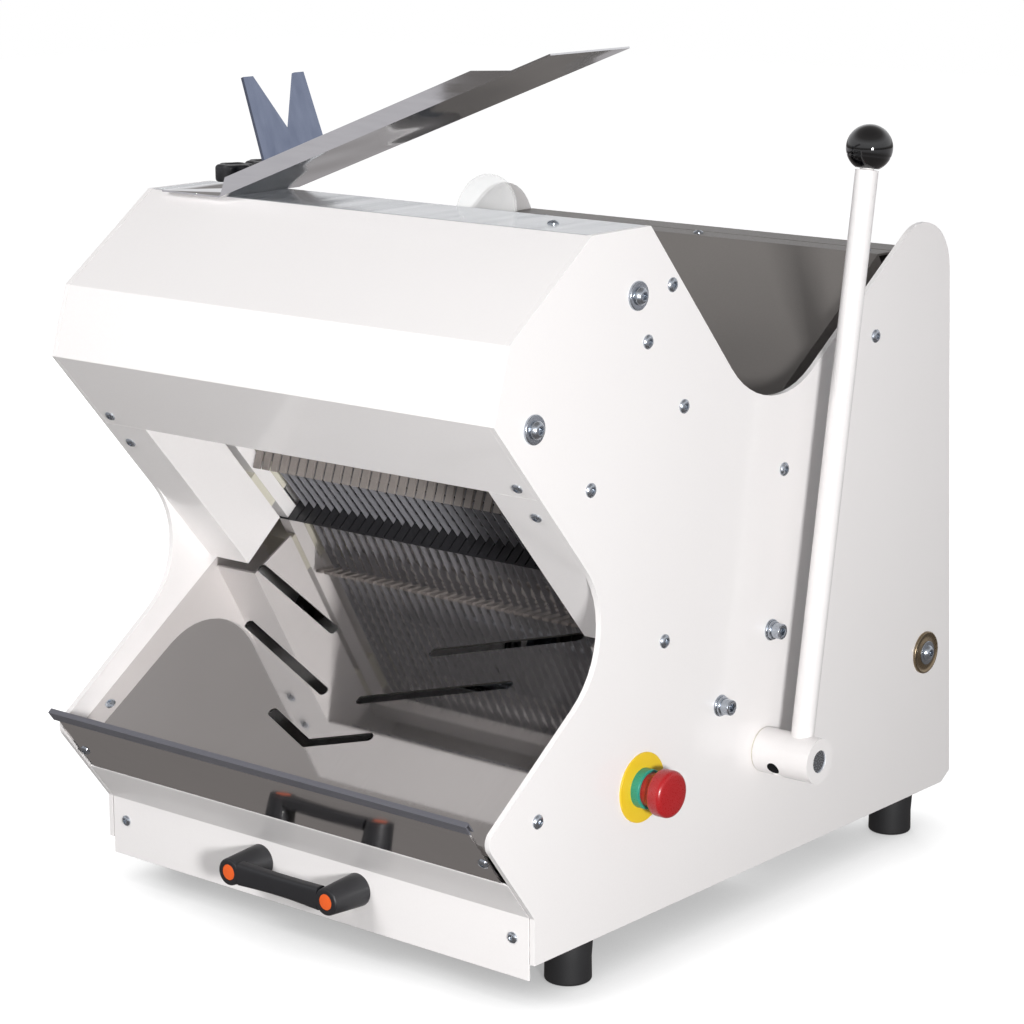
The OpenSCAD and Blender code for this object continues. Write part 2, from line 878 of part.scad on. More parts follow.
// Bag trough: a base on the top plate and a floor that rises to the right, with two flanges
module bag_trough() {
  color(steel) place() difference() {
    union() {
      depth_slab(trough_front, trough_front + trough_w)
        polygon(sheet([trough_base, trough_bend, tp(trough_len, 0)], trough_t));
      for (y = [trough_front, trough_front + trough_w - trough_t])
        depth_slab(y, y + trough_t) polygon([tp(trough_t, 0), tp(trough_taper, trough_flange_h),
          tp(trough_len - trough_flange_end - trough_taper_end, trough_flange_h),
          tp(trough_len - trough_flange_end, trough_t / 2), tp(trough_len - trough_flange_end, 0)]);
    }
    for (y = knob_y)
      translate([knob_x, y, panel_h - overrun]) cylinder(r = knob_stud_hole, h = foot_r, $fn = round_fn);
  }
}

// Upright end plate with a V notch, square to the trough's floor, on a folded foot
module notched_end_plate() {
  mid = trough_front + trough_w / 2;
  w = notch_plate_w / 2;
  top = w - notch_inset;
  foot = tp(notch_at, trough_t);
  color("lightsteelblue") place() translate([foot[0], mid, foot[1]]) rotate([0, -trough_a, 0]) {
    rotate([90, 0, 90]) linear_extrude(height = notch_t)
      polygon([[-w, 0], [w, 0], [top, notch_plate_h], [top - notch_horn, notch_plate_h],
        [0, notch_plate_h - notch_depth], [notch_horn - top, notch_plate_h], [-top, notch_plate_h]]);
    translate([0, -w, 0]) cube([notch_foot, 2 * w, sheet_t]);
  }
}

// Wavy outline of a knob, drawn in between its lobes
function knob_outline(share) =
  [for (k = [0:knob_sides - 1]) let (a = 360 * k / knob_sides)
    polar(share * (knob_r - knob_dip * (1 - cos(knob_lobes * a)) / 2), a)];

// Lobed knob with a stem and a stud through the trough and the top plate
module clamp_knob(y) {
  z0 = panel_h + seat_gap + trough_t;
  translate([knob_x, y, z0]) {
    cylinder(r = knob_stem_r, h = knob_stem_h + overrun, $fn = round_fn);
    translate([0, 0, -knob_stud_len]) cylinder(r = knob_stud_r, h = knob_stud_len + overrun, $fn = round_fn);
    translate([0, 0, knob_stem_h]) linear_extrude(height = knob_h - knob_rim) polygon(knob_outline(1));
    translate([0, 0, knob_stem_h + knob_h - knob_rim])
      linear_extrude(height = knob_rim) polygon(knob_outline(knob_rim_share));
  }
}

module clamp_knob_front() {
  color(black) place() clamp_knob(knob_y[0]);
}

module clamp_knob_rear() {
  color(black) place() clamp_knob(knob_y[1]);
}

// Clear sheet behind the nose; its half-round tab is bent up behind the top plate
module hopper_shield() {
  along = unit(peak - valley);
  top = peak - along * shield_drop;
  tilt = atan2(along[1], along[0]) - 180;
  color("white", 0.4) place() translate([0, top[0], top[1]]) {
    rotate([tilt, 0, 0])
      translate([-shield_half_w, 0, 0]) cube([2 * shield_half_w, skirt_len - shield_drop, shield_t]);
    rotate([90 - tab_lean, 0, 0]) translate([tab_x, 0, -shield_t]) difference() {
      cylinder(r = tab_r, h = shield_t, $fn = round_fn);
      translate([-tab_r, -tab_r, 0] - [overrun, overrun, overrun])
        cube([2 * (tab_r + overrun), tab_r + overrun, shield_t + 2 * overrun]);
    }
  }
}

// Round-headed screw in a panel, its head outside
module panel_screw(p) {
  rod_x(p, screw_r, half_w, half_w + screw_h);
  rod_x(p, screw_shank_r, in_x, half_w + overrun);
}

module panel_screws() {
  color(zinc) place() both_sides() for (s = screw_shares) panel_screw(on_panel(s));
}

// Bolt with a washer at each end of a tie bar; the rear ones have large washers
module tie_bolts() {
  color(zinc) place() both_sides() for (i = [0:len(tie_shares) - 1]) {
    p = on_panel(tie_shares[i]);
    rod_x(p, i == 2 ? rear_washer_r : tie_washer_r, half_w, half_w + tie_washer_t);
    rod_x(p, tie_head_r, half_w + tie_washer_t, half_w + tie_washer_t + tie_head_h);
    rod_x(p, tie_shank_r, in_x - tie_r, half_w + overrun);
  }
}

module collar_bolts() {
  color(zinc) place() both_sides() for (p = bearing_bolts()) difference() {
    union() {
      rod_x(p, collar_r, half_w, half_w + collar_h);
      rod_x(p, socket_r, half_w + collar_h, half_w + bolt_proud);
      rod_x(p, collar_shank_r, in_x - bearing_t, half_w + overrun);
    }
    rod_x(p, socket_r / 2, half_w + collar_h + socket_h / 2, half_w + bolt_proud + overrun);
  }
}

module small_screw() {
  cylinder(r = screw_r * small_screw_share, h = screw_h * small_screw_share, $fn = round_fn);
}

// Small screw with its head on a sheet, turned by a about X
module sheet_screw(x, p, a) {
  translate([x, p[0], p[1]]) rotate([a, 0, 0]) small_screw();
}

cover_screw_inset = 13;
cover_screw_back = 12;
tray_screw_share = [0.23, 0.86];
module cover_screws() {
  under = nose_low + unit(mouth - nose_low) * (cover_under - cover_screw_back);
  guide = bp(guide_high - 2 * cover_screw_back, -blade_setback);
  apron = apron_low + slant * 2 * cover_screw_back;
  color(zinc) place() {
    both_sides() {
      sheet_screw(in_x - cover_screw_inset, under, blade_a);
      sheet_screw(in_x - cover_screw_inset, guide, blade_a);
      sheet_screw(in_x - cover_screw_inset, apron, slant_a);
      for (share = tray_screw_share)
        sheet_screw(in_x - cover_screw_inset, fp(-share * tray_len, 0), feed_a);
    }
    sheet_screw(in_x - 5 * cover_screw_inset, [(crease[0] + peak[0]) / 2, panel_h], 0);
  }
}

// Lever shaft, hub, rod and ball
module lever_shaft() {
  color(zinc) place() rod_x(lever_at, shaft_r, -half_w - bush_flange_t, half_w + hub_reach - overrun);
}

module along_lever(r) {
  p = lever_at + lever_dir * r;
  translate([rod_x, p[0], p[1]]) rotate([-lever_lean, 0, 0]) children();
}

module lever_hub() {
  color(white) place() difference() {
    rod_x(lever_at, hub_r, hub_start, half_w + hub_reach);
    rod_x(lever_at, shaft_r, hub_start - overrun, half_w + hub_reach + overrun);
    along_lever(rod_seat) cylinder(r = rod_r, h = hub_r, $fn = round_fn);
    translate([half_w + set_screw_x, lever_at[0], lever_at[1]]) rotate([set_screw_a, 0, 0])
      translate([0, 0, hub_r - set_screw_deep]) cylinder(r = set_screw_r, h = hub_r, $fn = round_fn);
  }
}

module lever_rod() {
  color(white) place() {
    along_lever(rod_seat) cylinder(r = rod_r, h = rod_end - rod_seat, $fn = round_fn);
    along_lever(rod_end) cylinder(r = stud_r, h = stud_len, $fn = round_fn);
  }
}

module lever_ball() {
  color(black) place() difference() {
    along_lever(lever_len) sphere(r = ball_r, $fn = round_fn);
    along_lever(rod_end - ball_r) cylinder(r = rod_r + stud_r, h = ball_r, $fn = round_fn);
    along_lever(rod_end - overrun) cylinder(r = stud_r, h = stud_len + overrun, $fn = round_fn);
  }
}

// Dog-leg arm from the lever shaft to the pusher, behind the crankshaft all the way
module pusher_arm() {
  knee = lever_at + arm_knee;
  leg = unit(arm_knee);
  side = turned(leg) * arm_half;
  seat = -sheet_t;
  difference() {
    union() {
      rod_x(lever_at, arm_boss_r, arm_x, arm_x + arm_t);
      slab(arm_x, arm_x + arm_t)
        polygon([lever_at + side, lever_at - side, knee - side + leg * arm_half, fp(arm_seat_high, seat),
          fp(arm_seat_low, seat), knee + side - leg * arm_half / 2]);
    }
    rod_x(lever_at, shaft_r, arm_x - overrun, arm_x + arm_t + overrun);
  }
}

module pusher_arms() {
  color(zinc) place() both_sides() pusher_arm();
}

module pusher_plate() {
  top = fp(pusher_end, 0);
  flange_from = fp(pusher_start + sheet_t, 0);
  drop = feed_up * side_flange_h;
  color("gray") place() {
    slab(-pusher_half_w, pusher_half_w)
      polygon(sheet([fp(pusher_start, 0), top, top + [top_flange, 0]], -sheet_t));
    both_sides() slab(pusher_half_w - sheet_t, pusher_half_w)
      polygon([flange_from, top, top - drop, flange_from - drop + feed * side_flange_h]);
  }
}

pusher_screw_x = 190;
module pusher_screws() {
  at = fp(pusher_end, 0) + [top_flange / 2, 0];
  color(zinc) place() for (x = [-pusher_screw_x, 0, pusher_screw_x]) sheet_screw(x, at, 0);
}

// Sash frame: two slotted bars and two side rails, in front of the blades (-1) or behind them (1)
function beside_blades(side, from, to) = side > 0 ? [from, to] : [-to, -from];
module blade_frame(side, first) {
  inner = frame_gap / 2;
  w = beside_blades(side, inner, inner + bar_w);
  slot = beside_blades(side, inner - overrun, inner + blade_hook);
  wrist = bp(wrist_s, side * wrist_w);
  difference() {
    union() {
      blade_box([-rail_out, rail_out], [frame_low, frame_low + bar_h], w);
      blade_box([-rail_out, rail_out], [frame_top - bar_h, frame_top], w);
      both_sides() blade_box([rail_in, rail_out], [frame_low, frame_top], w);
    }
    for (i = [first:2:blade_count - 1])
      blade_box([blade_x(i) - blade_t / 2, blade_x(i) + blade_t / 2],
        [frame_low - overrun, frame_top + overrun], slot);
  }
  mirror([side > 0 ? 1 : 0, 0, 0]) rod_x(wrist, wrist_r, rail_out - overrun, conrod_x - wrist_gap);
}

// Toothed blades of one frame: all lie in one plane, and their ends hook into the frame's slotted bars
module blade_set(side, first) {
  edge = blade_depth / 2;
  hook = frame_gap / 2 + blade_hook;
  low = frame_low + bar_h;
  high = frame_top - bar_h;
  tooth_count = ceil((high - low) / tooth_pitch) - 1;
  back_path = side > 0 ? [bp(frame_low, -edge), bp(frame_top, -edge)] :
    [bp(frame_low, -hook), bp(low, -hook), bp(low, -edge),
      bp(high, -edge), bp(high, -hook), bp(frame_top, -hook)];
  upper_end = side > 0 ? [bp(frame_top, hook), bp(high, hook), bp(high, edge)] : [bp(frame_top, edge)];
  lower_end = side > 0 ? [bp(low, edge), bp(low, hook), bp(frame_low, hook)] :
    [bp(low, edge), bp(frame_low, edge)];
  teeth = [for (k = [tooth_count - 1:-1:0]) each [bp(low + (k + 1) * tooth_pitch, edge),
    bp(low + (k + 1 / 2) * tooth_pitch, edge - tooth_h)]];
  for (i = [first:2:blade_count - 1])
    slab(blade_x(i) - blade_t / 2, blade_x(i) + blade_t / 2)
      polygon(concat(back_path, upper_end, teeth, lower_end));
}

module blade_frame_a() {
  color(steel) place() blade_frame(-1, 0);
}

module blades_a() {
  color(zinc) place() blade_set(-1, 0);
}

module blade_frame_b() {
  color(steel) place() blade_frame(1, 1);
}

module blades_b() {
  color(zinc) place() blade_set(1, 1);
}

// Connecting rod beside a frame's rail, from its crank pin to the wrist of the frame
module conrod(pin, wrist) {
  dir = unit(wrist - pin);
  side = turned(dir) * conrod_bar / 2;
  x1 = conrod_x + conrod_t;
  difference() {
    union() {
      rod_x(pin, big_end_r, conrod_x, x1);
      rod_x(wrist, eye_r, conrod_x, x1);
      slab(conrod_x, x1) polygon([pin + side, pin - side, wrist - side, wrist + side]);
    }
    rod_x(pin, pin_r + run_fit, conrod_x - overrun, x1 + overrun);
    rod_x(wrist, wrist_r + run_fit, conrod_x - overrun, x1 + overrun);
  }
}

pin_a = crank - blade_back * throw;
pin_b = crank + blade_back * throw;

module conrod_a() {
  color("dimgray") place() conrod(pin_a, bp(wrist_s, -wrist_w));
}

module conrod_b() {
  color("dimgray") place() mirror([1, 0, 0]) conrod(pin_b, bp(wrist_s, wrist_w));
}

module crank_end(pin) {
  rod_x(crank, web_r, web_x, web_x + web_t);
  rod_x(pin, pin_r, pin_x - overrun, outer_web_x + overrun);
  rod_x(crank, web_r, outer_web_x, stub_x);
  rod_x(crank, shaft_r, stub_x - overrun, in_x - crank_clear);
}

module crankshaft() {
  color(zinc) place() {
    rod_x(crank, shaft_r, -web_x - overrun, web_x + overrun);
    crank_end(pin_a);
    mirror([1, 0, 0]) crank_end(pin_b);
  }
}

// Flanged belt pulley
module pulley(p, r, bore) {
  x1 = pulley_x + pulley_w;
  difference() {
    union() {
      rod_x(p, r - belt_in, pulley_x, x1);
      rod_x(p, r + belt_t, pulley_x, pulley_x + pulley_rim);
      rod_x(p, r + belt_t, x1 - pulley_rim, x1);
    }
    rod_x(p, bore, pulley_x - overrun, x1 + overrun);
  }
}

module driven_pulley() {
  color("dimgray") place() pulley(crank, driven_r, shaft_r);
}

module motor_pulley() {
  color("dimgray") place() {
    pulley(motor_at, motor_pulley_r, motor_shaft_r);
    rod_x(motor_at, motor_shaft_r, motor_x0 + motor_len / 2 + overrun, pulley_x + pulley_w);
  }
}

// Fingers that reach down between the blades from a rod across the machine
module hold_down_comb() {
  down = -[sin(comb_lean), cos(comb_lean)];
  across = turned(down) * finger_t;
  root = comb_pivot - across / 2;
  color(steel) place() {
    rod_x(comb_pivot, comb_rod_r, -in_x + overrun, in_x - overrun);
    slab(-comb_half_w, comb_half_w)
      polygon([root, root + across, root + across + down * comb_band, root + down * comb_band]);
    for (i = [0:blade_count]) {
      x = blade_x(i) - blade_pitch / 2;
      slab(x - finger_w / 2, x + finger_w / 2)
        polygon([root, root + across, root + across + down * comb_len, root + down * comb_len]);
    }
  }
}

module drawer_front() {
  color(white) place() slab(-drawer_x, drawer_x)
    polygon(sheet([[0, drawer_low], drawer_bend, drawer_edge], -sheet_t));
}

module drawer_tray() {
  color(steel) place() difference() {
    translate([-box_half, sheet_t, box_low]) cube([2 * box_half, drawer_len, box_h]);
    translate([box_t - box_half, sheet_t + box_t, box_low + box_t])
      cube([2 * (box_half - box_t), drawer_len - 2 * box_t, box_h]);
  }
}

// U handle: two round legs and a bar between their front ends
module drawer_handle() {
  color(black) place() difference() {
    union() {
      both_sides() translate([handle_w / 2, 0, handle_z]) rotate([90, 0, 0])
        cylinder(r1 = handle_r + handle_taper, r2 = handle_r, h = handle_reach, $fn = round_fn);
      translate([-handle_w / 2, -handle_reach, handle_z - handle_bar_h / 2])
        cube([handle_w, handle_bar_t, handle_bar_h]);
    }
    both_sides() translate([handle_w / 2, cap_t - handle_reach, handle_z]) rotate([90, 0, 0])
      cylinder(r = cap_r, h = 2 * cap_t, $fn = round_fn);
  }
}

module handle_caps() {
  color("orangered") place() both_sides()
    translate([handle_w / 2, cap_t - handle_reach, handle_z]) rotate([90, 0, 0])
      cylinder(r = cap_r, h = cap_t, $fn = round_fn);
}

module drawer_screws() {
  color(zinc) place() both_sides()
    translate([drawer_x - drawer_screw_x, 0, drawer_screw_z]) rotate([90, 0, 0])
      small_screw();
}

right_side_panel();
left_side_panel();
nose_cover();
top_plate();
front_apron();
apron_trim();
outlet_tray();
right_outlet_guide();
left_outlet_guide();
infeed_floor();
floor_crossbar();
rear_cover();
rear_top_strip();
side_stiffeners();
tie_bars();
rubber_feet();
blade_guide_comb();
frame_guides();
motor();
motor_plate();
crank_bearings();
lever_bushes();
drawer_runners();
drive_belt();
cable_gland();
estop_legend();
estop_collar();
estop_body();
bag_trough();
notched_end_plate();
hopper_shield();
panel_screws();
tie_bolts();
collar_bolts();
cover_screws();
lever_shaft();
lever_hub();
lever_rod();
lever_ball();
pusher_arms();
pusher_plate();
pusher_screws();
blade_frame_a();
blades_a();
blade_frame_b();
blades_b();
conrod_a();
conrod_b();
crankshaft();
driven_pulley();
motor_pulley();
hold_down_comb();
drawer_front();
drawer_tray();
drawer_handle();
handle_caps();
drawer_screws();
estop_button();
clamp_knob_front();
clamp_knob_rear();
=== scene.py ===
"""Looks of a table-top bread slicer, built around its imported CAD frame.

Every size is in metres unless a name ends in _mm, and every place comes from the frame's own nodes.
"""

from __future__ import annotations

import json
import logging
import math
from dataclasses import dataclass, field
from enum import Enum

import bmesh
import bpy
import numpy as np
from mathutils import Matrix, Vector

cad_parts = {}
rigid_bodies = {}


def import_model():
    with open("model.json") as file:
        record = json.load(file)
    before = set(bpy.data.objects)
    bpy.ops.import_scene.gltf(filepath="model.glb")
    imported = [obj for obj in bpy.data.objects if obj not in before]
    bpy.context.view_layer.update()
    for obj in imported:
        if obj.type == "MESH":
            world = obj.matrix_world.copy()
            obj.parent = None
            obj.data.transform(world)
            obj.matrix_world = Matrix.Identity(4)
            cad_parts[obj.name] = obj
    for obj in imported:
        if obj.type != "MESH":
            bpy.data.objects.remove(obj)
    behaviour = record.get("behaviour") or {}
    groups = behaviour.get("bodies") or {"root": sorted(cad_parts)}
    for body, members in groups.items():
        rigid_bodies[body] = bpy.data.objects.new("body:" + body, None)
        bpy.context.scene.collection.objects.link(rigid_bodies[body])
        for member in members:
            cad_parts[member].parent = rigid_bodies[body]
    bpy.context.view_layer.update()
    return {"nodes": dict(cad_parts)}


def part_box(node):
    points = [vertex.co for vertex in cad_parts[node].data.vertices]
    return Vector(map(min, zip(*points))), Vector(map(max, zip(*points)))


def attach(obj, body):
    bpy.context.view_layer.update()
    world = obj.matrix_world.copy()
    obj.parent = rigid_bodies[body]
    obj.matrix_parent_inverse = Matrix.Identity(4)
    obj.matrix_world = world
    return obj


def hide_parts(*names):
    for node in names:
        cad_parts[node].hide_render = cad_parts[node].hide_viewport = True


LOG = logging.getLogger("bread_slicer")
MM = 0.001
WELD_DISTANCE = 1e-6
WELD_DIGITS = 6
ROUND_POINTS = 64
HEXAGON = 6
SMOOTH_DEG = 38.0
NEARLY_ALONG = 0.9
UPRIGHT = np.eye(3)
ORIGIN = np.zeros(3)
# A noise texture hardly leaves this range.
NOISE_LOW, NOISE_HIGH = 0.3, 0.7
GRAIN_DETAIL, PATCH_DETAIL, WAVE_DETAIL = 3.0, 2.0, 0.0
# The mix node gives its colour sockets the names of its number sockets, so they go by their place.
MIX_A, MIX_B, MIX_RESULT = 6, 7, 2
WHITE = "#FFFFFF"

Point = tuple[float, float, float]


class Axis(Enum):
    """Axes of the frame that a round piece can stand on."""

    X = (1.0, 0.0, 0.0)
    Y = (0.0, 1.0, 0.0)
    Z = (0.0, 0.0, 1.0)

    @property
    def unit(self) -> np.ndarray:
        """Unit vector along the axis."""
        return np.array(self.value)


def linear(hex_colour: str) -> tuple[float, float, float, float]:
    """Turns an sRGB hex colour into linear RGBA.

    Args:
        hex_colour: Colour such as "#F2F0EC".

    Returns:
        Linear red, green and blue, and an alpha of one.
    """
    raw = np.array([int(hex_colour[i:i + 2], 16) for i in (1, 3, 5)]) / 255.0
    rgb = np.where(raw <= 0.04045, raw / 12.92, ((raw + 0.055) / 1.055) ** 2.4)
    return (*rgb.tolist(), 1.0)


def add_node(tree: bpy.types.NodeTree, kind: str, values: dict | None = None,
             links: dict | None = None, **settings: object) -> bpy.types.Node:
    """Adds one shader node.

    Args:
        tree: Node tree that gets the node.
        kind: Blender's name of the node type.
        values: Input socket to its fixed value.
        links: Input socket to the output socket that feeds it.
        settings: Attributes of the node itself.

    Returns:
        The new node.
    """
    node = tree.nodes.new(kind)
    for name, value in settings.items():
        setattr(node, name, value)
    for name, value in (values or {}).items():
        node.inputs[name].default_value = value
    for name, source in (links or {}).items():
        tree.links.new(source, node.inputs[name])
    return node


@dataclass(frozen=True)
class Finish:
    """A surface finish: what the material is and how its surface was made.

    The grain is a noise in real millimetres that varies colour, roughness and height; stretch draws it
    out along an axis, as brushing or rolling does. The patch is a slower noise that lets the shade come
    and go, and the wave is the slow bow of a sheet.
    """

    name: str
    colour: str
    shade: str
    metallic: float = 0.0
    roughness: float = 0.4
    spread: float = 0.05
    grain_mm: float = 2.0
    stretch: Point = (1.0, 1.0, 1.0)
    bump_mm: float = 0.01
    patch_mm: float = 90.0
    wave_mm: float = 0.0
    wave_depth_mm: float = 0.0
    fixed: dict[str, object] = field(default_factory=dict)

    def build(self) -> bpy.types.Material:
        """Makes the material.

        Returns:
            A node material on Object coordinates.
        """
        material = bpy.data.materials.new(self.name)
        material.use_nodes = True
        tree = material.node_tree
        shader = tree.nodes["Principled BSDF"]
        for socket, value in {"Metallic": self.metallic, **self.fixed}.items():
            shader.inputs[socket].default_value = value
        place = add_node(tree, "ShaderNodeTexCoord").outputs["Object"]
        drawn = add_node(tree, "ShaderNodeMapping", {"Scale": self.stretch}, {"Vector": place})
        grain = add_node(tree, "ShaderNodeTexNoise",
                         {"Scale": 1.0 / (self.grain_mm * MM), "Detail": GRAIN_DETAIL},
                         {"Vector": drawn.outputs["Vector"]}).outputs["Fac"]
        patch = add_node(tree, "ShaderNodeTexNoise",
                         {"Scale": 1.0 / (self.patch_mm * MM), "Detail": PATCH_DETAIL},
                         {"Vector": place}).outputs["Fac"]
        both = add_node(tree, "ShaderNodeMath", links={0: grain, 1: patch}, operation="MULTIPLY")
        tint = add_node(tree, "ShaderNodeMix", {MIX_A: linear(self.colour), MIX_B: linear(self.shade)},
                        {0: both.outputs["Value"]}, data_type="RGBA")
        rough = add_node(tree, "ShaderNodeMapRange",
                         {"From Min": NOISE_LOW, "From Max": NOISE_HIGH,
                          "To Min": max(0.0, self.roughness - self.spread),
                          "To Max": self.roughness + self.spread}, {"Value": grain})
        bump = add_node(tree, "ShaderNodeBump", {"Strength": 1.0, "Distance": self.bump_mm * MM},
                        {"Height": grain})
        if self.wave_mm:
            wave = add_node(tree, "ShaderNodeTexNoise",
                            {"Scale": 1.0 / (self.wave_mm * MM), "Detail": WAVE_DETAIL}, {"Vector": place})
            bump = add_node(tree, "ShaderNodeBump", {"Strength": 1.0, "Distance": self.wave_depth_mm * MM},
                            {"Height": wave.outputs["Fac"], "Normal": bump.outputs["Normal"]})
        tree.links.new(tint.outputs[MIX_RESULT], shader.inputs["Base Color"])
        tree.links.new(rough.outputs["Result"], shader.inputs["Roughness"])
        tree.links.new(bump.outputs["Normal"], shader.inputs["Normal"])
        return material


# Electrostatic powder coat on sheet: an even warm white with a faint orange peel.
POWDER_COAT = Finish(
    "powder_coat_white", "#F5F2F1", "#EFEBEA", roughness=0.34, spread=0.04, grain_mm=2.2, bump_mm=0.008,
    patch_mm=160, fixed={"IOR": 1.5, "Coat Weight": 0.5, "Coat Roughness": 0.08})
# Bright annealed stainless sheet: a mirror that bows the reflections slightly.
MIRROR_STAINLESS = Finish(
    "mirror_stainless", "#D6D4D4", "#CBC9C9", metallic=1.0, roughness=0.07, spread=0.025, grain_mm=3.0,
    stretch=(0.1, 1.0, 1.0), bump_mm=0.0008, wave_mm=120, wave_depth_mm=0.2)
# Mirror sheet of the bag trough, whose bow mirrors bright and dark parts of the room.
TROUGH_STAINLESS = Finish(
    "trough_stainless", "#E2E2E4", "#CFCFD2", metallic=1.0, roughness=0.06, spread=0.02, grain_mm=3.0,
    stretch=(0.1, 1.0, 1.0), bump_mm=0.0008, wave_mm=75, wave_depth_mm=2.0)
# Rolled stainless of the outlet tray: a mirror that dulls over a few centimetres.
TRAY_STAINLESS = Finish(
    "tray_stainless", "#D2CFCE", "#C6C3C2", metallic=0.96, roughness=0.045, spread=0.02, grain_mm=2.0,
    stretch=(1.0, 0.06, 0.06), bump_mm=0.0006, wave_mm=160, wave_depth_mm=0.2)
# Bright sheet of the top plate: silver with painted reflection streaks across its length. The grain's light
# and dark bands in the colour stand for upright things mirrored from the room; the same grain also varies
# roughness and height.
STAINLESS_PAINTED_STREAKS = Finish(
    "stainless_painted_reflection_streaks", "#EBEDEF", "#9CA3AA", metallic=0.6, roughness=0.2, spread=0.06, grain_mm=14.0,
    stretch=(1.0, 0.03, 0.03), bump_mm=0.001, patch_mm=55)
# Satin grey enamel on the pusher and the rear strip: flat, with hardly a highlight.
GREY_ENAMEL = Finish(
    "satin_grey_enamel", "#7C7875", "#73706D", roughness=0.42, spread=0.05, grain_mm=1.8, bump_mm=0.006,
    patch_mm=120, fixed={"Specular IOR Level": 0.15})
# Enamel on the bread floor, which lies in the shade of the hopper, painted near black as that shade so the
# gaps between the blades read dark.
ENAMEL_PAINTED_SHADE = Finish(
    "enamel_painted_hopper_shade", "#2E2C2B", "#262423", roughness=0.5, spread=0.05, grain_mm=1.8, bump_mm=0.006,
    patch_mm=80, fixed={"Specular IOR Level": 0.15})
# Extruded edge trim: blue-grey, drawn along its length.
GREY_TRIM = Finish(
    "grey_trim", "#64646B", "#5A5A61", roughness=0.4, spread=0.06, grain_mm=1.5,
    stretch=(0.05, 1.0, 1.0), bump_mm=0.005, patch_mm=30)
# Satin ground stainless sheet: fine lines across the machine that spread the highlights.
SATIN_STAINLESS = Finish(
    "satin_stainless", "#8B8681", "#7B7672", metallic=1.0, roughness=0.36, spread=0.06, grain_mm=0.9,
    stretch=(0.03, 1.0, 1.0), bump_mm=0.004)
# Punched comb plate: matt stainless that the flash lights evenly.
COMB_STEEL = Finish(
    "comb_steel", "#A69E99", "#918A85", metallic=0.25, roughness=0.5, spread=0.06, grain_mm=1.0,
    stretch=(0.1, 1.0, 1.0), bump_mm=0.003)
# Upright brushed stainless of the notched plate: cool streaks along its height, drawn coarse to show.
BRUSHED_STAINLESS = Finish(
    "brushed_stainless", "#8C94A8", "#57617A", metallic=1.0, roughness=0.24, spread=0.03, grain_mm=9.0,
    stretch=(1.0, 1.0, 0.06), bump_mm=0.0006, patch_mm=40)
# Hardened blade strip: grey, rolled along its length.
BLADE_STEEL = Finish(
    "blade_steel", "#96959A", "#828186", metallic=0.3, roughness=0.4, spread=0.06, grain_mm=1.0,
    stretch=(1.0, 0.15, 0.15), bump_mm=0.002)
# Bright zinc plate on fasteners and small steel parts: bluish, slightly cloudy.
ZINC_PLATE = Finish(
    "zinc_plate", "#B9BFC7", "#949BA5", metallic=1.0, roughness=0.24, spread=0.08, grain_mm=1.5,
    bump_mm=0.003, patch_mm=8)
# Yellow-passivated zinc on the large rear washers: a bronze tint.
YELLOW_ZINC = Finish(
    "yellow_zinc", "#9C8B72", "#6F6557", metallic=1.0, roughness=0.3, spread=0.08, grain_mm=2.0,
    bump_mm=0.003, patch_mm=9)
# Moulded rubber of the feet and the belt: matt and dusty.
BLACK_RUBBER = Finish(
    "moulded_rubber", "#1B1B1D", "#262628", roughness=0.62, spread=0.08, grain_mm=0.8, bump_mm=0.02,
    patch_mm=12)
# Spark-eroded glass-filled nylon of the handle, the knobs and the guide comb: a fine even grain.
BLACK_NYLON = Finish(
    "grained_nylon", "#1D1D20", "#2A2A2D", roughness=0.46, spread=0.06, grain_mm=0.7, bump_mm=0.02,
    patch_mm=15, fixed={"IOR": 1.53})
# Black oxide on the set screw of the lever's hub, made dull, not metallic and nearly without shine, so that
# it also carries the painted shade of the screw's recess.
BLACK_OXIDE_PAINTED_RECESS = Finish(
    "black_oxide_painted_recess_shade", "#0C0C0E", "#141417", roughness=0.7, spread=0.06, grain_mm=0.8, bump_mm=0.004,
    patch_mm=6, fixed={"Specular IOR Level": 0.1})
# Polished phenolic ball: deep gloss black.
PHENOLIC = Finish(
    "polished_phenolic", "#050506", "#0B0B0D", roughness=0.07, spread=0.02, grain_mm=4.0, bump_mm=0.001,
    patch_mm=20, fixed={"IOR": 1.6, "Coat Weight": 0.4, "Coat Roughness": 0.03})
# Moulded polyamide of the stop button's head: a half-gloss red.
RED_PLASTIC = Finish(
    "red_polyamide", "#B01E22", "#98151A", roughness=0.3, spread=0.05, grain_mm=1.2, bump_mm=0.006,
    patch_mm=14, fixed={"IOR": 1.52})
# Moulded polyamide of the collar under the button: a half-gloss turquoise.
TURQUOISE_PLASTIC = Finish(
    "turquoise_polyamide", "#2FA08A", "#268873", roughness=0.3, spread=0.05, grain_mm=1.2,
    bump_mm=0.006, patch_mm=10, fixed={"IOR": 1.52})
# Plain plastic disc behind the button: an even satin yellow.
YELLOW_PLASTIC = Finish(
    "yellow_disc", "#EFCB2E", "#E4BD22", roughness=0.36, spread=0.04, grain_mm=1.5, bump_mm=0.003,
    patch_mm=18, fixed={"IOR": 1.5})
# Moulded inserts in the handle: a satin orange.
ORANGE_PLASTIC = Finish(
    "orange_insert", "#F0682A", "#DD5520", roughness=0.38, spread=0.05, grain_mm=0.9, bump_mm=0.008,
    patch_mm=8, fixed={"IOR": 1.5})
# Natural nylon of the guides and bushes: a dull ivory.
NATURAL_NYLON = Finish(
    "natural_nylon", "#DEDACB", "#CFCABA", roughness=0.45, spread=0.05, grain_mm=1.5, bump_mm=0.01,
    patch_mm=20, fixed={"IOR": 1.53})
# Grey enamel on the cast motor housing: the sand's grain shows through.
MOTOR_ENAMEL = Finish(
    "motor_enamel", "#4B545E", "#3F4750", roughness=0.45, spread=0.06, grain_mm=1.8, bump_mm=0.03,
    patch_mm=30)
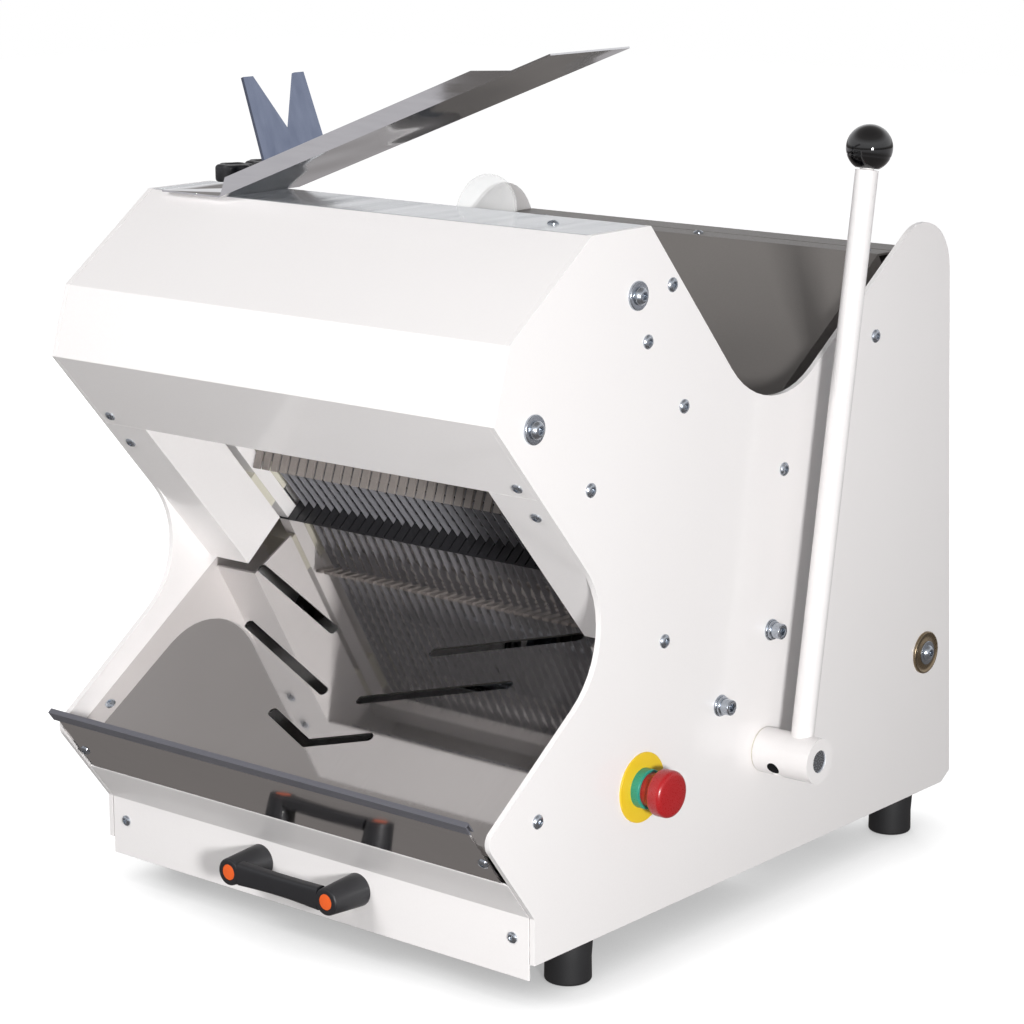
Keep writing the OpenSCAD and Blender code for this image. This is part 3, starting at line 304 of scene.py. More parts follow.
# Machined cast iron of rods, bearings and pulleys: dark grey with a dull shine.
CAST_IRON = Finish(
    "machined_iron", "#6C6A68", "#54524F", metallic=1.0, roughness=0.42, spread=0.08, grain_mm=1.2,
    bump_mm=0.015, patch_mm=12)
# Clear acrylic sheet with a faint milky haze.
CLEAR_ACRYLIC = Finish(
    "clear_acrylic", "#F4F4F3", "#ECECEB", roughness=0.2, spread=0.03, grain_mm=6.0, bump_mm=0.0005,
    patch_mm=60, fixed={"IOR": 1.3, "Alpha": 0.32})

FINISHED_NODES: tuple[tuple[Finish, tuple[str, ...]], ...] = (
    (POWDER_COAT, ("right_side_panel", "left_side_panel", "nose_cover", "right_outlet_guide",
                   "left_outlet_guide", "rear_cover", "drawer_front", "lever_hub", "lever_rod",
                   "blade_frame_a", "blade_frame_b")),
    (MIRROR_STAINLESS, ("front_apron",)),
    (TROUGH_STAINLESS, ("bag_trough",)),
    (TRAY_STAINLESS, ("outlet_tray",)),
    (STAINLESS_PAINTED_STREAKS, ("top_plate",)),
    (SATIN_STAINLESS, ("drawer_tray",)),
    (BRUSHED_STAINLESS, ("notched_end_plate",)),
    (GREY_ENAMEL, ("pusher_plate", "rear_top_strip")),
    (ENAMEL_PAINTED_SHADE, ("infeed_floor",)),
    (GREY_TRIM, ("apron_trim",)),
    (COMB_STEEL, ("hold_down_comb",)),
    (BLADE_STEEL, ("blades_a", "blades_b")),
    (ZINC_PLATE, ("floor_crossbar", "side_stiffeners", "tie_bars", "motor_plate", "drawer_runners",
                  "lever_shaft", "pusher_arms", "crankshaft", "panel_screws", "tie_bolts", "collar_bolts",
                  "cover_screws", "pusher_screws", "drawer_screws")),
    (BLACK_RUBBER, ("rubber_feet", "drive_belt")),
    (BLACK_NYLON, ("blade_guide_comb", "cable_gland", "estop_body", "drawer_handle", "clamp_knob_front",
                   "clamp_knob_rear")),
    (PHENOLIC, ("lever_ball",)),
    (NATURAL_NYLON, ("frame_guides", "lever_bushes")),
    (MOTOR_ENAMEL, ("motor",)),
    (CAST_IRON, ("crank_bearings", "conrod_a", "conrod_b", "driven_pulley", "motor_pulley")),
    (YELLOW_PLASTIC, ("estop_legend",)),
    (TURQUOISE_PLASTIC, ("estop_collar",)),
    (RED_PLASTIC, ("estop_button",)),
    (ORANGE_PLASTIC, ("handle_caps",)),
    (CLEAR_ACRYLIC, ("hopper_shield",)),
)
NODE_FINISH = {node: finish for finish, nodes in FINISHED_NODES for node in nodes}

# Edge rounding of the sheets and plates in plain view and of the lever, in millimetres.
SOFT_EDGES_MM: tuple[tuple[float, tuple[str, ...]], ...] = (
    (0.9, ("right_side_panel", "left_side_panel")),
    (0.5, ("nose_cover", "right_outlet_guide", "left_outlet_guide", "drawer_front", "rear_cover",
           "lever_rod")),
    (0.3, ("front_apron", "outlet_tray", "bag_trough", "top_plate", "rear_top_strip", "pusher_plate",
           "notched_end_plate", "apron_trim")),
    (1.2, ("lever_hub",)),
)
EDGE_MM = {node: width for width, nodes in SOFT_EDGES_MM for node in nodes}


class Palette:
    """Makes each finish's material once and hands it out."""

    def __init__(self) -> None:
        """Starts with no materials."""
        self._made: dict[str, bpy.types.Material] = {}

    def of(self, finish: Finish) -> bpy.types.Material:
        """Looks up the material of a finish and makes it on first use.

        Args:
            finish: Finish that is wanted.

        Returns:
            Its material.
        """
        if finish.name not in self._made:
            self._made[finish.name] = finish.build()
        return self._made[finish.name]


def corners(node: str) -> tuple[np.ndarray, np.ndarray]:
    """Finds the box of a CAD node.

    Args:
        node: Name of the CAD node.

    Returns:
        Its lowest and its highest corner.
    """
    low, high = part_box(node)
    return np.array(low), np.array(high)


def frame_along(axis: np.ndarray) -> np.ndarray:
    """Works out a turning matrix whose third column is an axis.

    Args:
        axis: Unit direction.

    Returns:
        A 3 by 3 matrix with orthogonal columns.
    """
    aside = Axis.X.unit if abs(axis[0]) < NEARLY_ALONG else Axis.Y.unit
    across = np.cross(aside, axis)
    across /= np.linalg.norm(across)
    return np.column_stack([across, np.cross(axis, across), axis])


def grid_faces(rows: int, columns: int, start: int) -> np.ndarray:
    """Joins the points of a grid into quads, with the last column next to the first.

    Args:
        rows: Points along the first parameter.
        columns: Points along the second parameter, which runs round.
        start: Index of the grid's first point.

    Returns:
        Corner indices of the quads, one row each.
    """
    i = np.arange(rows - 1)[:, None] * columns
    j = np.arange(columns)[None, :]
    k = (j + 1) % columns
    quads = np.stack([i + j, i + k, i + columns + k, i + columns + j], axis=-1)
    return quads.reshape(-1, 4) + start


def revolve(profile: np.ndarray, corner_count: int = 0) -> np.ndarray:
    """Carries a profile round an axis.

    Each profile row is (radius, height) or (radius, height, share). A share above zero draws the circle
    towards a regular polygon with that many corners: r times 1 / cos(angle from the flat's middle).

    Args:
        profile: Rows along the outline, from its foot round the outside to its top or back to the foot.
        corner_count: Corners of the polygon, for rows that have a share.

    Returns:
        Points as an array of rows, points round the axis and three coordinates.
    """
    angle = np.linspace(0.0, 2.0 * math.pi, ROUND_POINTS, endpoint=False)
    radius = np.repeat(profile[:, 0:1], ROUND_POINTS, axis=1)
    if corner_count:
        flat = 2.0 * math.pi / corner_count
        polygon = 1.0 / np.cos((angle + flat / 2) % flat - flat / 2)
        radius = radius * (1.0 + profile[:, 2:3] * (polygon[None, :] - 1.0))
    height = np.repeat(profile[:, 1:2], ROUND_POINTS, axis=1)
    return np.stack([radius * np.cos(angle), radius * np.sin(angle), height], axis=-1)


def arc(centre: tuple[float, float], radius: float, steps: int, start: float = 0.0,
        stop: float = 90.0) -> np.ndarray:
    """Places points on an arc of a profile, angles in degrees.

    Args:
        centre: Middle of the arc.
        radius: Radius of the arc.
        steps: Number of stretches.
        start: First angle.
        stop: Last angle.

    Returns:
        Rows of two coordinates.
    """
    angle = np.radians(np.linspace(start, stop, steps + 1))
    return np.column_stack([centre[0] + radius * np.cos(angle), centre[1] + radius * np.sin(angle)])


def ring_points(bore: float, radius: float, thick: float, edge: float, steps: int) -> np.ndarray:
    """Carries a ring's section round an axis, with a rounded outer edge on top.

    Args:
        bore: Radius of the hole.
        radius: Outer radius.
        thick: Thickness.
        edge: Radius of the rounded edge.
        steps: Stretches of the rounded edge.

    Returns:
        Revolved points, from the bore round the rim and back.
    """
    outer = arc((radius - edge, thick - edge), edge, steps)
    return revolve(np.vstack([[bore, 0.0], [radius, 0.0], outer, [bore, thick], [bore, 0.0]]))


class Shape:
    """Collects grids of points and turns them into one closed mesh object."""

    def __init__(self) -> None:
        """Starts with no points."""
        self._points: list[np.ndarray] = []
        self._faces: list[np.ndarray] = []
        self._count = 0

    def add(self, grid: np.ndarray, turn: np.ndarray = UPRIGHT, origin: np.ndarray = ORIGIN) -> None:
        """Adds one grid, turned and then moved to its place.

        Args:
            grid: Points as rows, columns and three coordinates.
            turn: 3 by 3 matrix whose columns are the grid's axes.
            origin: Place of the grid's zero.
        """
        rows, columns = grid.shape[:2]
        self._points.append(grid.reshape(-1, 3) @ turn.T + origin)
        self._faces.append(grid_faces(rows, columns, self._count))
        self._count += rows * columns

    def build(self, name: str, material: bpy.types.Material, smooth_deg: float) -> bpy.types.Object:
        """Makes the mesh object.

        Args:
            name: Name of the piece.
            material: Its finish.
            smooth_deg: Edges sharper than this stay sharp.

        Returns:
            The object, at the origin.
        """
        mesh = bpy.data.meshes.new(name)
        mesh.from_pydata(np.concatenate(self._points).tolist(), [], np.concatenate(self._faces).tolist())
        piece = bpy.data.objects.new(name, mesh)
        bpy.context.scene.collection.objects.link(piece)
        close_mesh(mesh, smooth_deg)
        mesh.materials.append(material)
        return piece


def close_mesh(mesh: bpy.types.Mesh, smooth_deg: float) -> None:
    """Merges the doubled points at poles, turns faces outwards and sets the shading.

    Args:
        mesh: Mesh to change.
        smooth_deg: Edges sharper than this stay sharp.
    """
    work = bmesh.new()
    work.from_mesh(mesh)
    bmesh.ops.remove_doubles(work, verts=work.verts, dist=WELD_DISTANCE)
    bmesh.ops.dissolve_degenerate(work, edges=work.edges, dist=WELD_DISTANCE)
    bmesh.ops.recalc_face_normals(work, faces=work.faces)
    work.to_mesh(mesh)
    work.free()
    mesh.shade_smooth()
    mesh.set_sharp_from_angle(angle=math.radians(smooth_deg))


@dataclass(frozen=True)
class Island:
    """One solid of a CAD node that holds several, seen as a short round piece on an axis."""

    base: np.ndarray
    axis: np.ndarray
    radius: float
    height: float


def islands(node: str, axis: np.ndarray | None = None, look: np.ndarray | None = None) -> list[Island]:
    """Splits a CAD node into its separate solids.

    Points that share a triangle get the same label, the smallest one, until nothing changes. A flat round
    solid's own axis is the direction in which its points spread least.

    Args:
        node: Name of the CAD node.
        axis: Axis of every solid, or None to find each one's own.
        look: Direction that the outer ends look to, or None to look away from the middle plane.

    Returns:
        The solids, each with the middle of its inner end.
    """
    mesh = bpy.data.objects[node].data
    points = np.empty(len(mesh.vertices) * 3)
    mesh.vertices.foreach_get("co", points)
    mesh.calc_loop_triangles()
    triangles = np.empty(len(mesh.loop_triangles) * 3, dtype=np.int64)
    mesh.loop_triangles.foreach_get("vertices", triangles)
    unique, same = np.unique(np.round(points.reshape(-1, 3), WELD_DIGITS), axis=0, return_inverse=True)
    triangles = same.reshape(-1)[triangles].reshape(-1, 3)
    label = np.arange(len(unique))
    while True:
        least = label[triangles].min(axis=1)
        new = label.copy()
        np.minimum.at(new, triangles.ravel(), np.repeat(least, 3))
        if (new == label).all():
            break
        label = new
    middle_x = unique[:, 0].min() / 2 + unique[:, 0].max() / 2
    found = []
    for name in np.unique(label):
        own = unique[label == name]
        centre = own.min(axis=0) / 2 + own.max(axis=0) / 2
        way = axis if axis is not None else np.linalg.eigh(np.cov((own - own.mean(axis=0)).T))[1][:, 0]
        outward = look if look is not None else (centre[0] - middle_x) * Axis.X.unit
        way = way * (1.0 if way @ outward > 0 else -1.0)
        along = (own - centre) @ way
        off = own - centre - along[:, None] * way
        found.append(Island(centre + along.min() * way, way, float(np.linalg.norm(off, axis=1).max()),
                            float(along.max() - along.min())))
    return found


@dataclass
class Assembly:
    """A sub-assembly whose pieces take their finishes from one palette."""

    palette: Palette

    def settle(self, shape: Shape, name: str, finish: Finish, body: str, node: str | None = None,
               smooth_deg: float = SMOOTH_DEG) -> None:
        """Makes a shape's piece, puts it on its body and reports it.

        Args:
            shape: Shape of the piece.
            name: Name of the piece.
            finish: Its finish.
            body: Body that it rides on.
            node: CAD node that it stands for, if any.
            smooth_deg: Edges sharper than this stay sharp.
        """
        piece = shape.build(name, self.palette.of(finish), smooth_deg)
        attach(piece, body)
        if node:
            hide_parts(node)
        LOG.info("piece %s on %s", name, body)


@dataclass(frozen=True)
class ScrewSet:
    """Screws of one CAD node: their body, the height of a head, their axis and where the heads look.

    Without an axis each screw's own is found, and without a look the heads point away from the middle.
    """

    node: str
    body: str
    head_mm: float
    axis: Axis | None = None
    look: Point | None = None


SCREW_SETS = (
    ScrewSet("panel_screws", "base", 3.0, Axis.X),
    ScrewSet("cover_screws", "base", 2.4, None, (0.0, -1.0, 0.02)),
    ScrewSet("pusher_screws", "lever", 2.4, Axis.Z, (0.0, 0.0, 1.0)),
    ScrewSet("drawer_screws", "drawer", 2.4, Axis.Y, (0.0, -1.0, 0.0)),
)


@dataclass
class Fasteners(Assembly):
    """Button-head screws and washers that stand for the CAD's plain ones."""

    dome_share: float = 0.62
    dome_points: int = 9
    lip_share: float = 1.18
    socket_share: float = 0.42
    socket_wall_share: float = 0.94
    socket_deep_share: float = 0.55
    socket_cone_share: float = 0.25
    chamfer_mm: float = 0.12
    washer_edge_share: float = 0.4
    bore_r_mm: float = 4.0

    def build(self) -> None:
        """Makes the button heads of every set of screws."""
        for screws in SCREW_SETS:
            self.heads(screws)

    def heads(self, screws: ScrewSet) -> None:
        """Makes one piece with the button heads of one CAD node's screws.

        Args:
            screws: The set of screws.
        """
        shape = Shape()
        tall = screws.head_mm * MM
        axis = screws.axis.unit if screws.axis else None
        look = np.array(screws.look) if screws.look else None
        for place in islands(screws.node, axis, look):
            foot = place.base + place.axis * (place.height - tall)
            shape.add(self.head(place.radius, tall), frame_along(place.axis), foot)
        self.settle(shape, f"{screws.node}_heads", ZINC_PLATE, screws.body, screws.node)

    def head(self, radius: float, height: float) -> np.ndarray:
        """Domed head: a short straight rim, a quarter sine to the socket's lip, then a hexagonal pocket.

        Args:
            radius: Radius of the head.
            height: Height of the head.

        Returns:
            Revolved points that start at the foot of the rim.
        """
        mouth = radius * self.socket_share
        rim = height * (1.0 - self.dome_share)
        swell = np.linspace(0.0, 1.0, self.dome_points)[:, None]
        dome = np.hstack([radius + (mouth * self.lip_share - radius) * swell,
                          rim + (height - rim) * np.sin(swell * math.pi / 2)])
        plain = np.vstack([[0.0, 0.0], [radius, 0.0], dome])
        floor = height * (1.0 - self.socket_deep_share)
        wall = mouth * self.socket_wall_share
        pocket = np.array([[mouth, height, 1.0], [wall, height - self.chamfer_mm * MM, 1.0],
                           [wall, floor, 1.0], [0.0, floor - mouth * self.socket_cone_share, 0.0]])
        return revolve(np.vstack([np.pad(plain, ((0, 0), (0, 1))), pocket]), HEXAGON)

    def washer(self, radius: float, thick: float) -> np.ndarray:
        """Flat washer with a rolled edge."""
        return ring_points(self.bore_r_mm * MM, radius, thick, thick * self.washer_edge_share, steps=5)


@dataclass
class TieBolts(Fasteners):
    """Washers with button heads at the ends of the tie bars; the large rear washers are dished."""

    head_mm: float = 5.0
    head_r_mm: float = 7.5
    washer_mm: float = 2.5
    large_r_mm: float = 15.0
    flange_mm: float = 1.1
    flange_share: float = 0.56
    roll_share: float = 0.5
    roll_deg: float = 150.0
    dish_shares: tuple[tuple[float, float], ...] = ((0.8, 0.55), (0.68, 0.6), (0.6, 1.0), (0.0, 1.0))

    def build(self) -> None:
        """Makes the rear washers as one piece and all else as another."""
        shape = Shape()
        rear = Shape()
        thick = self.washer_mm * MM
        tall = self.head_mm * MM
        for place in islands("tie_bolts", Axis.X.unit):
            turn = frame_along(place.axis)
            foot = place.base + place.axis * (place.height - tall - thick)
            seat = foot + place.axis * thick
            if place.radius > self.large_r_mm * MM:
                rear.add(self.dished(place.radius, thick), turn, foot)
                shape.add(self.washer(place.radius * self.flange_share, self.flange_mm * MM), turn, seat)
            else:
                shape.add(self.washer(place.radius, thick), turn, foot)
            shape.add(self.head(self.head_r_mm * MM, tall), turn, seat)
        self.settle(rear, "rear_tie_washers", YELLOW_ZINC, "base")
        self.settle(shape, "tie_bolt_heads", ZINC_PLATE, "base", "tie_bolts")

    def dished(self, radius: float, thick: float) -> np.ndarray:
        """Dished washer: a rolled rim, a hollow ring inside it and a raised seat in the middle.

        Args:
            radius: Outer radius.
            thick: Height of the rim and of the seat.

        Returns:
            Revolved points.
        """
        roll = thick * self.roll_share
        rim = arc((radius - roll, thick - roll), roll, steps=8, stop=self.roll_deg)
        hollow = np.array(self.dish_shares) * (radius, thick)
        return revolve(np.vstack([[0.0, 0.0], [radius, 0.0], rim, hollow]))


@dataclass
class CollarBolts(Fasteners):
    """Flanged collars with socket-cap heads that hold the crank bearings."""

    collar_mm: float = 4.5
    brim_mm: float = 0.8
    edge_mm: float = 1.0
    neck_share: float = 0.86
    proud_mm: float = 12.5
    cap_r_mm: float = 6.8
    cap_edge_mm: float = 0.8
    cap_socket_share: float = 0.5
    cap_mouth_share: float = 1.2
    cap_chamfer_mm: float = 0.3
    cap_floor_share: float = 0.45
    cap_cone_share: float = 0.35

    def build(self) -> None:
        """Makes all collars and caps as one piece."""
        shape = Shape()
        low, proud = self.collar_mm * MM, self.proud_mm * MM
        for place in islands("collar_bolts", Axis.X.unit):
            turn = frame_along(place.axis)
            foot = place.base + place.axis * (place.height - proud)
            shape.add(self.collar(place.radius, low), turn, foot)
            shape.add(self.cap(self.cap_r_mm * MM, proud - low), turn, foot + place.axis * low)
        self.settle(shape, "collar_bolt_heads", ZINC_PLATE, "base", "collar_bolts")

    def collar(self, radius: float, height: float) -> np.ndarray:
        """Collar: a brim with a round edge and a narrower neck above it.

        Args:
            radius: Radius of the brim.
            height: Height of the collar.

        Returns:
            Revolved points.
        """
        edge, brim = self.edge_mm * MM, self.brim_mm * MM
        neck = radius * self.neck_share
        return revolve(np.vstack([
            [0.0, 0.0], [radius, 0.0], arc((radius - edge, brim), edge, steps=4), [neck, brim + edge],
            arc((neck - edge, height - edge), edge, steps=4), [0.0, height]]))

    def cap(self, radius: float, height: float) -> np.ndarray:
        """Socket-cap head: an upright wall, a small round edge and a deep hexagonal pocket.

        Args:
            radius: Radius of the cap.
            height: Height of the cap.

        Returns:
            Revolved points.
        """
        edge = self.cap_edge_mm * MM
        mouth = radius * self.cap_socket_share
        plain = np.vstack([[0.0, 0.0], [radius, 0.0], arc((radius - edge, height - edge), edge, steps=4)])
        pocket = np.array([[mouth * self.cap_mouth_share, height, 0.0],
                           [mouth, height - self.cap_chamfer_mm * MM, 1.0],
                           [mouth, height * self.cap_floor_share, 1.0],
                           [0.0, height * self.cap_cone_share, 0.0]])
        return revolve(np.vstack([np.pad(plain, ((0, 0), (0, 1))), pocket]), HEXAGON)


@dataclass
class LeverKnob(Assembly):
    """Ball on the hand lever: a sphere with a flat seat and a moulding line round it."""

    seat_deg: float = -60.0
    top_deg: float = 90.0
    points: int = 46
    groove_mm: float = 0.35
    groove_deg: float = -20.0
    groove_wide_deg: float = 1.6
    smooth_deg: float = 50.0

    def build(self) -> None:
        """Makes the ball on the lever's own axis.

        The radius dips at the moulding line by groove times exp(-((angle - line) / width) squared).
        """
        low, high = corners("lever_ball")
        radius = float((high - low).max() / 2)
        hub_low, hub_high = corners("lever_hub")
        axis = (low + high) / 2 - (hub_low / 2 + hub_high / 2)
        axis[0] = 0.0
        axis /= np.linalg.norm(axis)
        centre = (low + high) / 2 + axis * (radius - (high - low)[2] / 2)
        turn = np.linspace(self.seat_deg, self.top_deg, self.points)
        dip = np.exp(-((turn - self.groove_deg) / self.groove_wide_deg) ** 2)
        swell = radius - self.groove_mm * MM * dip
        angle = np.radians(turn)
        ball = np.column_stack([swell * np.cos(angle), swell * np.sin(angle)])
        ball[-1, 0] = 0.0
        shape = Shape()
        shape.add(revolve(np.vstack([[0.0, ball[0, 1]], ball])), frame_along(axis), centre)
        self.settle(shape, "ball_knob", PHENOLIC, "lever", "lever_ball", self.smooth_deg)


@dataclass
class HubScrew(Assembly):
    """Black set screw that lies flush in the lever's hub, on the side that faces the user; its near-black
    face also stands for the painted shade of a recess that the flush disc lacks.
    """

    radius_mm: float = 6.0
    along_share: float = 0.36
    below_deg: float = 29.0
    deep_mm: float = 0.8
    lift_mm: float = 0.12
    face_share: float = 0.96
    face_points: int = 7

    def build(self) -> None:
        """Lays a disc on the hub's round.

        A point at a distance and a bearing from the disc's middle goes distance times cosine along the hub
        and distance times sine, over the hub's radius, round it.
        """
        low, high = corners("lever_hub")
        middle = (low + high) / 2
        hub = float(high[1] - low[1]) / 2
        wide = self.radius_mm * MM
        under, over = hub - self.deep_mm * MM, hub + self.lift_mm * MM
        inward = wide * np.linspace(self.face_share, 0.0, self.face_points)
        face = np.column_stack([inward, np.full(self.face_points, over)])
        rows = np.vstack([[0.0, under], [wide, under], [wide, hub], face])
        bearing = np.linspace(0.0, 2.0 * math.pi, ROUND_POINTS, endpoint=False)
        along = low[0] + self.along_share * (high[0] - low[0]) + rows[:, 0:1] * np.cos(bearing)
        around = math.radians(self.below_deg) + rows[:, 0:1] * np.sin(bearing) / hub
        shape = Shape()
        shape.add(np.stack([along, middle[1] - rows[:, 1:2] * np.cos(around),
                            middle[2] - rows[:, 1:2] * np.sin(around)], axis=-1))
        self.settle(shape, "hub_set_screw", BLACK_OXIDE_PAINTED_RECESS, "lever")


@dataclass
class StopButton(Assembly):
    """Mushroom stop button: waisted red head, turquoise collar and plain yellow disc."""

    stem_r_mm: float = 8.0
    neck_r_mm: float = 14.5
    head_mm: float = 26.5
    neck_mm: float = 7.0
    flare_mm: float = 7.0
    flare_points: int = 11
    edge_mm: float = 4.5
    edge_deg: float = 80.0
    crown_mm: float = 0.6
    crown_share: float = 0.45
    crown_drop_mm: float = 0.1
    collar_gap_mm: float = 0.1
    collar_edge_mm: float = 0.8
    disc_bore_mm: float = 12.0
    disc_edge_mm: float = 0.5
    smooth_deg: float = 50.0

    def build(self) -> None:
        """Makes the three visible pieces on their CAD nodes' places."""
        self.head()
        self.ring("estop_collar", "stop_collar", TURQUOISE_PLASTIC, self.neck_r_mm + self.collar_gap_mm,
                  self.collar_edge_mm)
        self.ring("estop_legend", "stop_disc", YELLOW_PLASTIC, self.disc_bore_mm, self.disc_edge_mm)

    def place(self, node: str) -> tuple[np.ndarray, float, float]:
        """Measures a round node that stands on the right panel.

        Args:
            node: Name of the CAD node.

        Returns:
            The middle of its left face, its radius and its length along X.
        """
        low, high = corners(node)
        middle = (low + high) / 2
        foot = np.array([low[0], middle[1], middle[2]])
        return foot, float(high[2] - low[2]) / 2, float(high[0] - low[0])

    def head(self) -> None:
        """Red head: stem, narrow waist, a flare of 3 s squared - 2 s cubed and a shallow crowned face."""
        foot, radius, top = self.place("estop_button")
        stem, neck, edge = self.stem_r_mm * MM, self.neck_r_mm * MM, self.edge_mm * MM
        start = top - self.head_mm * MM
        share = np.linspace(0.0, 1.0, self.flare_points)
        rise = start + (self.neck_mm + self.flare_mm * share) * MM
        wide = neck + (radius - neck) * (share ** 2 * (3 - 2 * share))
        profile = np.vstack([
            [0.0, 0.0], [stem, 0.0], [stem, start], [neck, start], np.column_stack([wide, rise]),
            arc((radius - edge, top - edge - self.crown_mm * MM), edge, steps=8, stop=self.edge_deg),
            [radius * self.crown_share, top - self.crown_drop_mm * MM], [0.0, top]])
        shape = Shape()
        shape.add(revolve(profile), frame_along(Axis.X.unit), foot)
        self.settle(shape, "stop_head", RED_PLASTIC, "estop_button", "estop_button", self.smooth_deg)

    def ring(self, node: str, name: str, finish: Finish, bore_mm: float, edge_mm: float) -> None:
        """Turned ring with a rounded outer edge, on a CAD node's place.

        Args:
            node: CAD node it stands for.
            name: Name of the piece.
            finish: Its finish.
            bore_mm: Radius of its hole.
            edge_mm: Radius of its outer edge.
        """
        foot, radius, length = self.place(node)
        turned = ring_points(bore_mm * MM, radius, length, edge_mm * MM, steps=6)
        shape = Shape()
        shape.add(turned, frame_along(Axis.X.unit), foot)
        self.settle(shape, name, finish, "base", node)


@dataclass
class ClampKnobs(Assembly):
    """Two lobed knobs that clamp the bag trough."""

    lobes: int = 6
    points: int = 96
    dip_share: float = 0.17
    stud_mm: float = 9.0
    stud_r_mm: float = 3.0
    stem_mm: float = 9.0
    stem_r_mm: float = 7.0
    edge_mm: float = 3.0
    dimple_share: float = 0.5
    dimple_wall_share: float = 0.9
    dimple_mm: float = 0.8
    smooth_deg: float = 50.0

    def build(self) -> None:
        """Makes both knobs."""
        for node in ("clamp_knob_front", "clamp_knob_rear"):
            self.knob(node)

    def knob(self, node: str) -> None:
        """One knob: a stud, a round stem and a wavy head with rounded edges and a dimple on top.

        The head's radius is r times (1 - dip (1 - cos(lobes angle)) / 2), and the stem and the dimple
        have no wave.

        Args:
            node: CAD node that it stands for.
        """
        low, high = corners(node)
        middle = (low + high) / 2
        radius = float(high[0] - low[0]) / 2
        top = float(high[2] - low[2])
        stud, stem, edge = self.stud_r_mm * MM, self.stem_r_mm * MM, self.edge_mm * MM
        stem_foot = self.stud_mm * MM
        head_foot = stem_foot + self.stem_mm * MM
        stalk = np.array([[0.0, 0.0], [stud, 0.0], [stud, stem_foot], [stem, stem_foot], [stem, head_foot]])
        wall = np.vstack([arc((radius - edge, head_foot + edge), edge, steps=6, start=-90.0, stop=0.0),
                          arc((radius - edge, top - edge), edge, steps=6)])
        dimple = radius * self.dimple_share
        floor = top - self.dimple_mm * MM
        crown = np.array([[dimple, top], [dimple * self.dimple_wall_share, floor], [0.0, floor]])
        rows = np.vstack([stalk, wall, crown])
        wavy = np.concatenate([np.zeros(len(stalk)), np.ones(len(wall)), np.zeros(len(crown))])[:, None]
        angle = np.linspace(0.0, 2.0 * math.pi, self.points, endpoint=False)
        wave = 1.0 - self.dip_share * (1.0 - np.cos(self.lobes * angle)) / 2
        spread = rows[:, 0:1] * (1.0 + wavy * (wave[None, :] - 1.0))
        height = np.repeat(rows[:, 1:2], self.points, axis=1)
        shape = Shape()
        shape.add(np.stack([spread * np.cos(angle), spread * np.sin(angle), height], axis=-1),
                  origin=np.array([middle[0], middle[1], low[2]]))
        self.settle(shape, f"{node}_grip", BLACK_NYLON, node, node, self.smooth_deg)


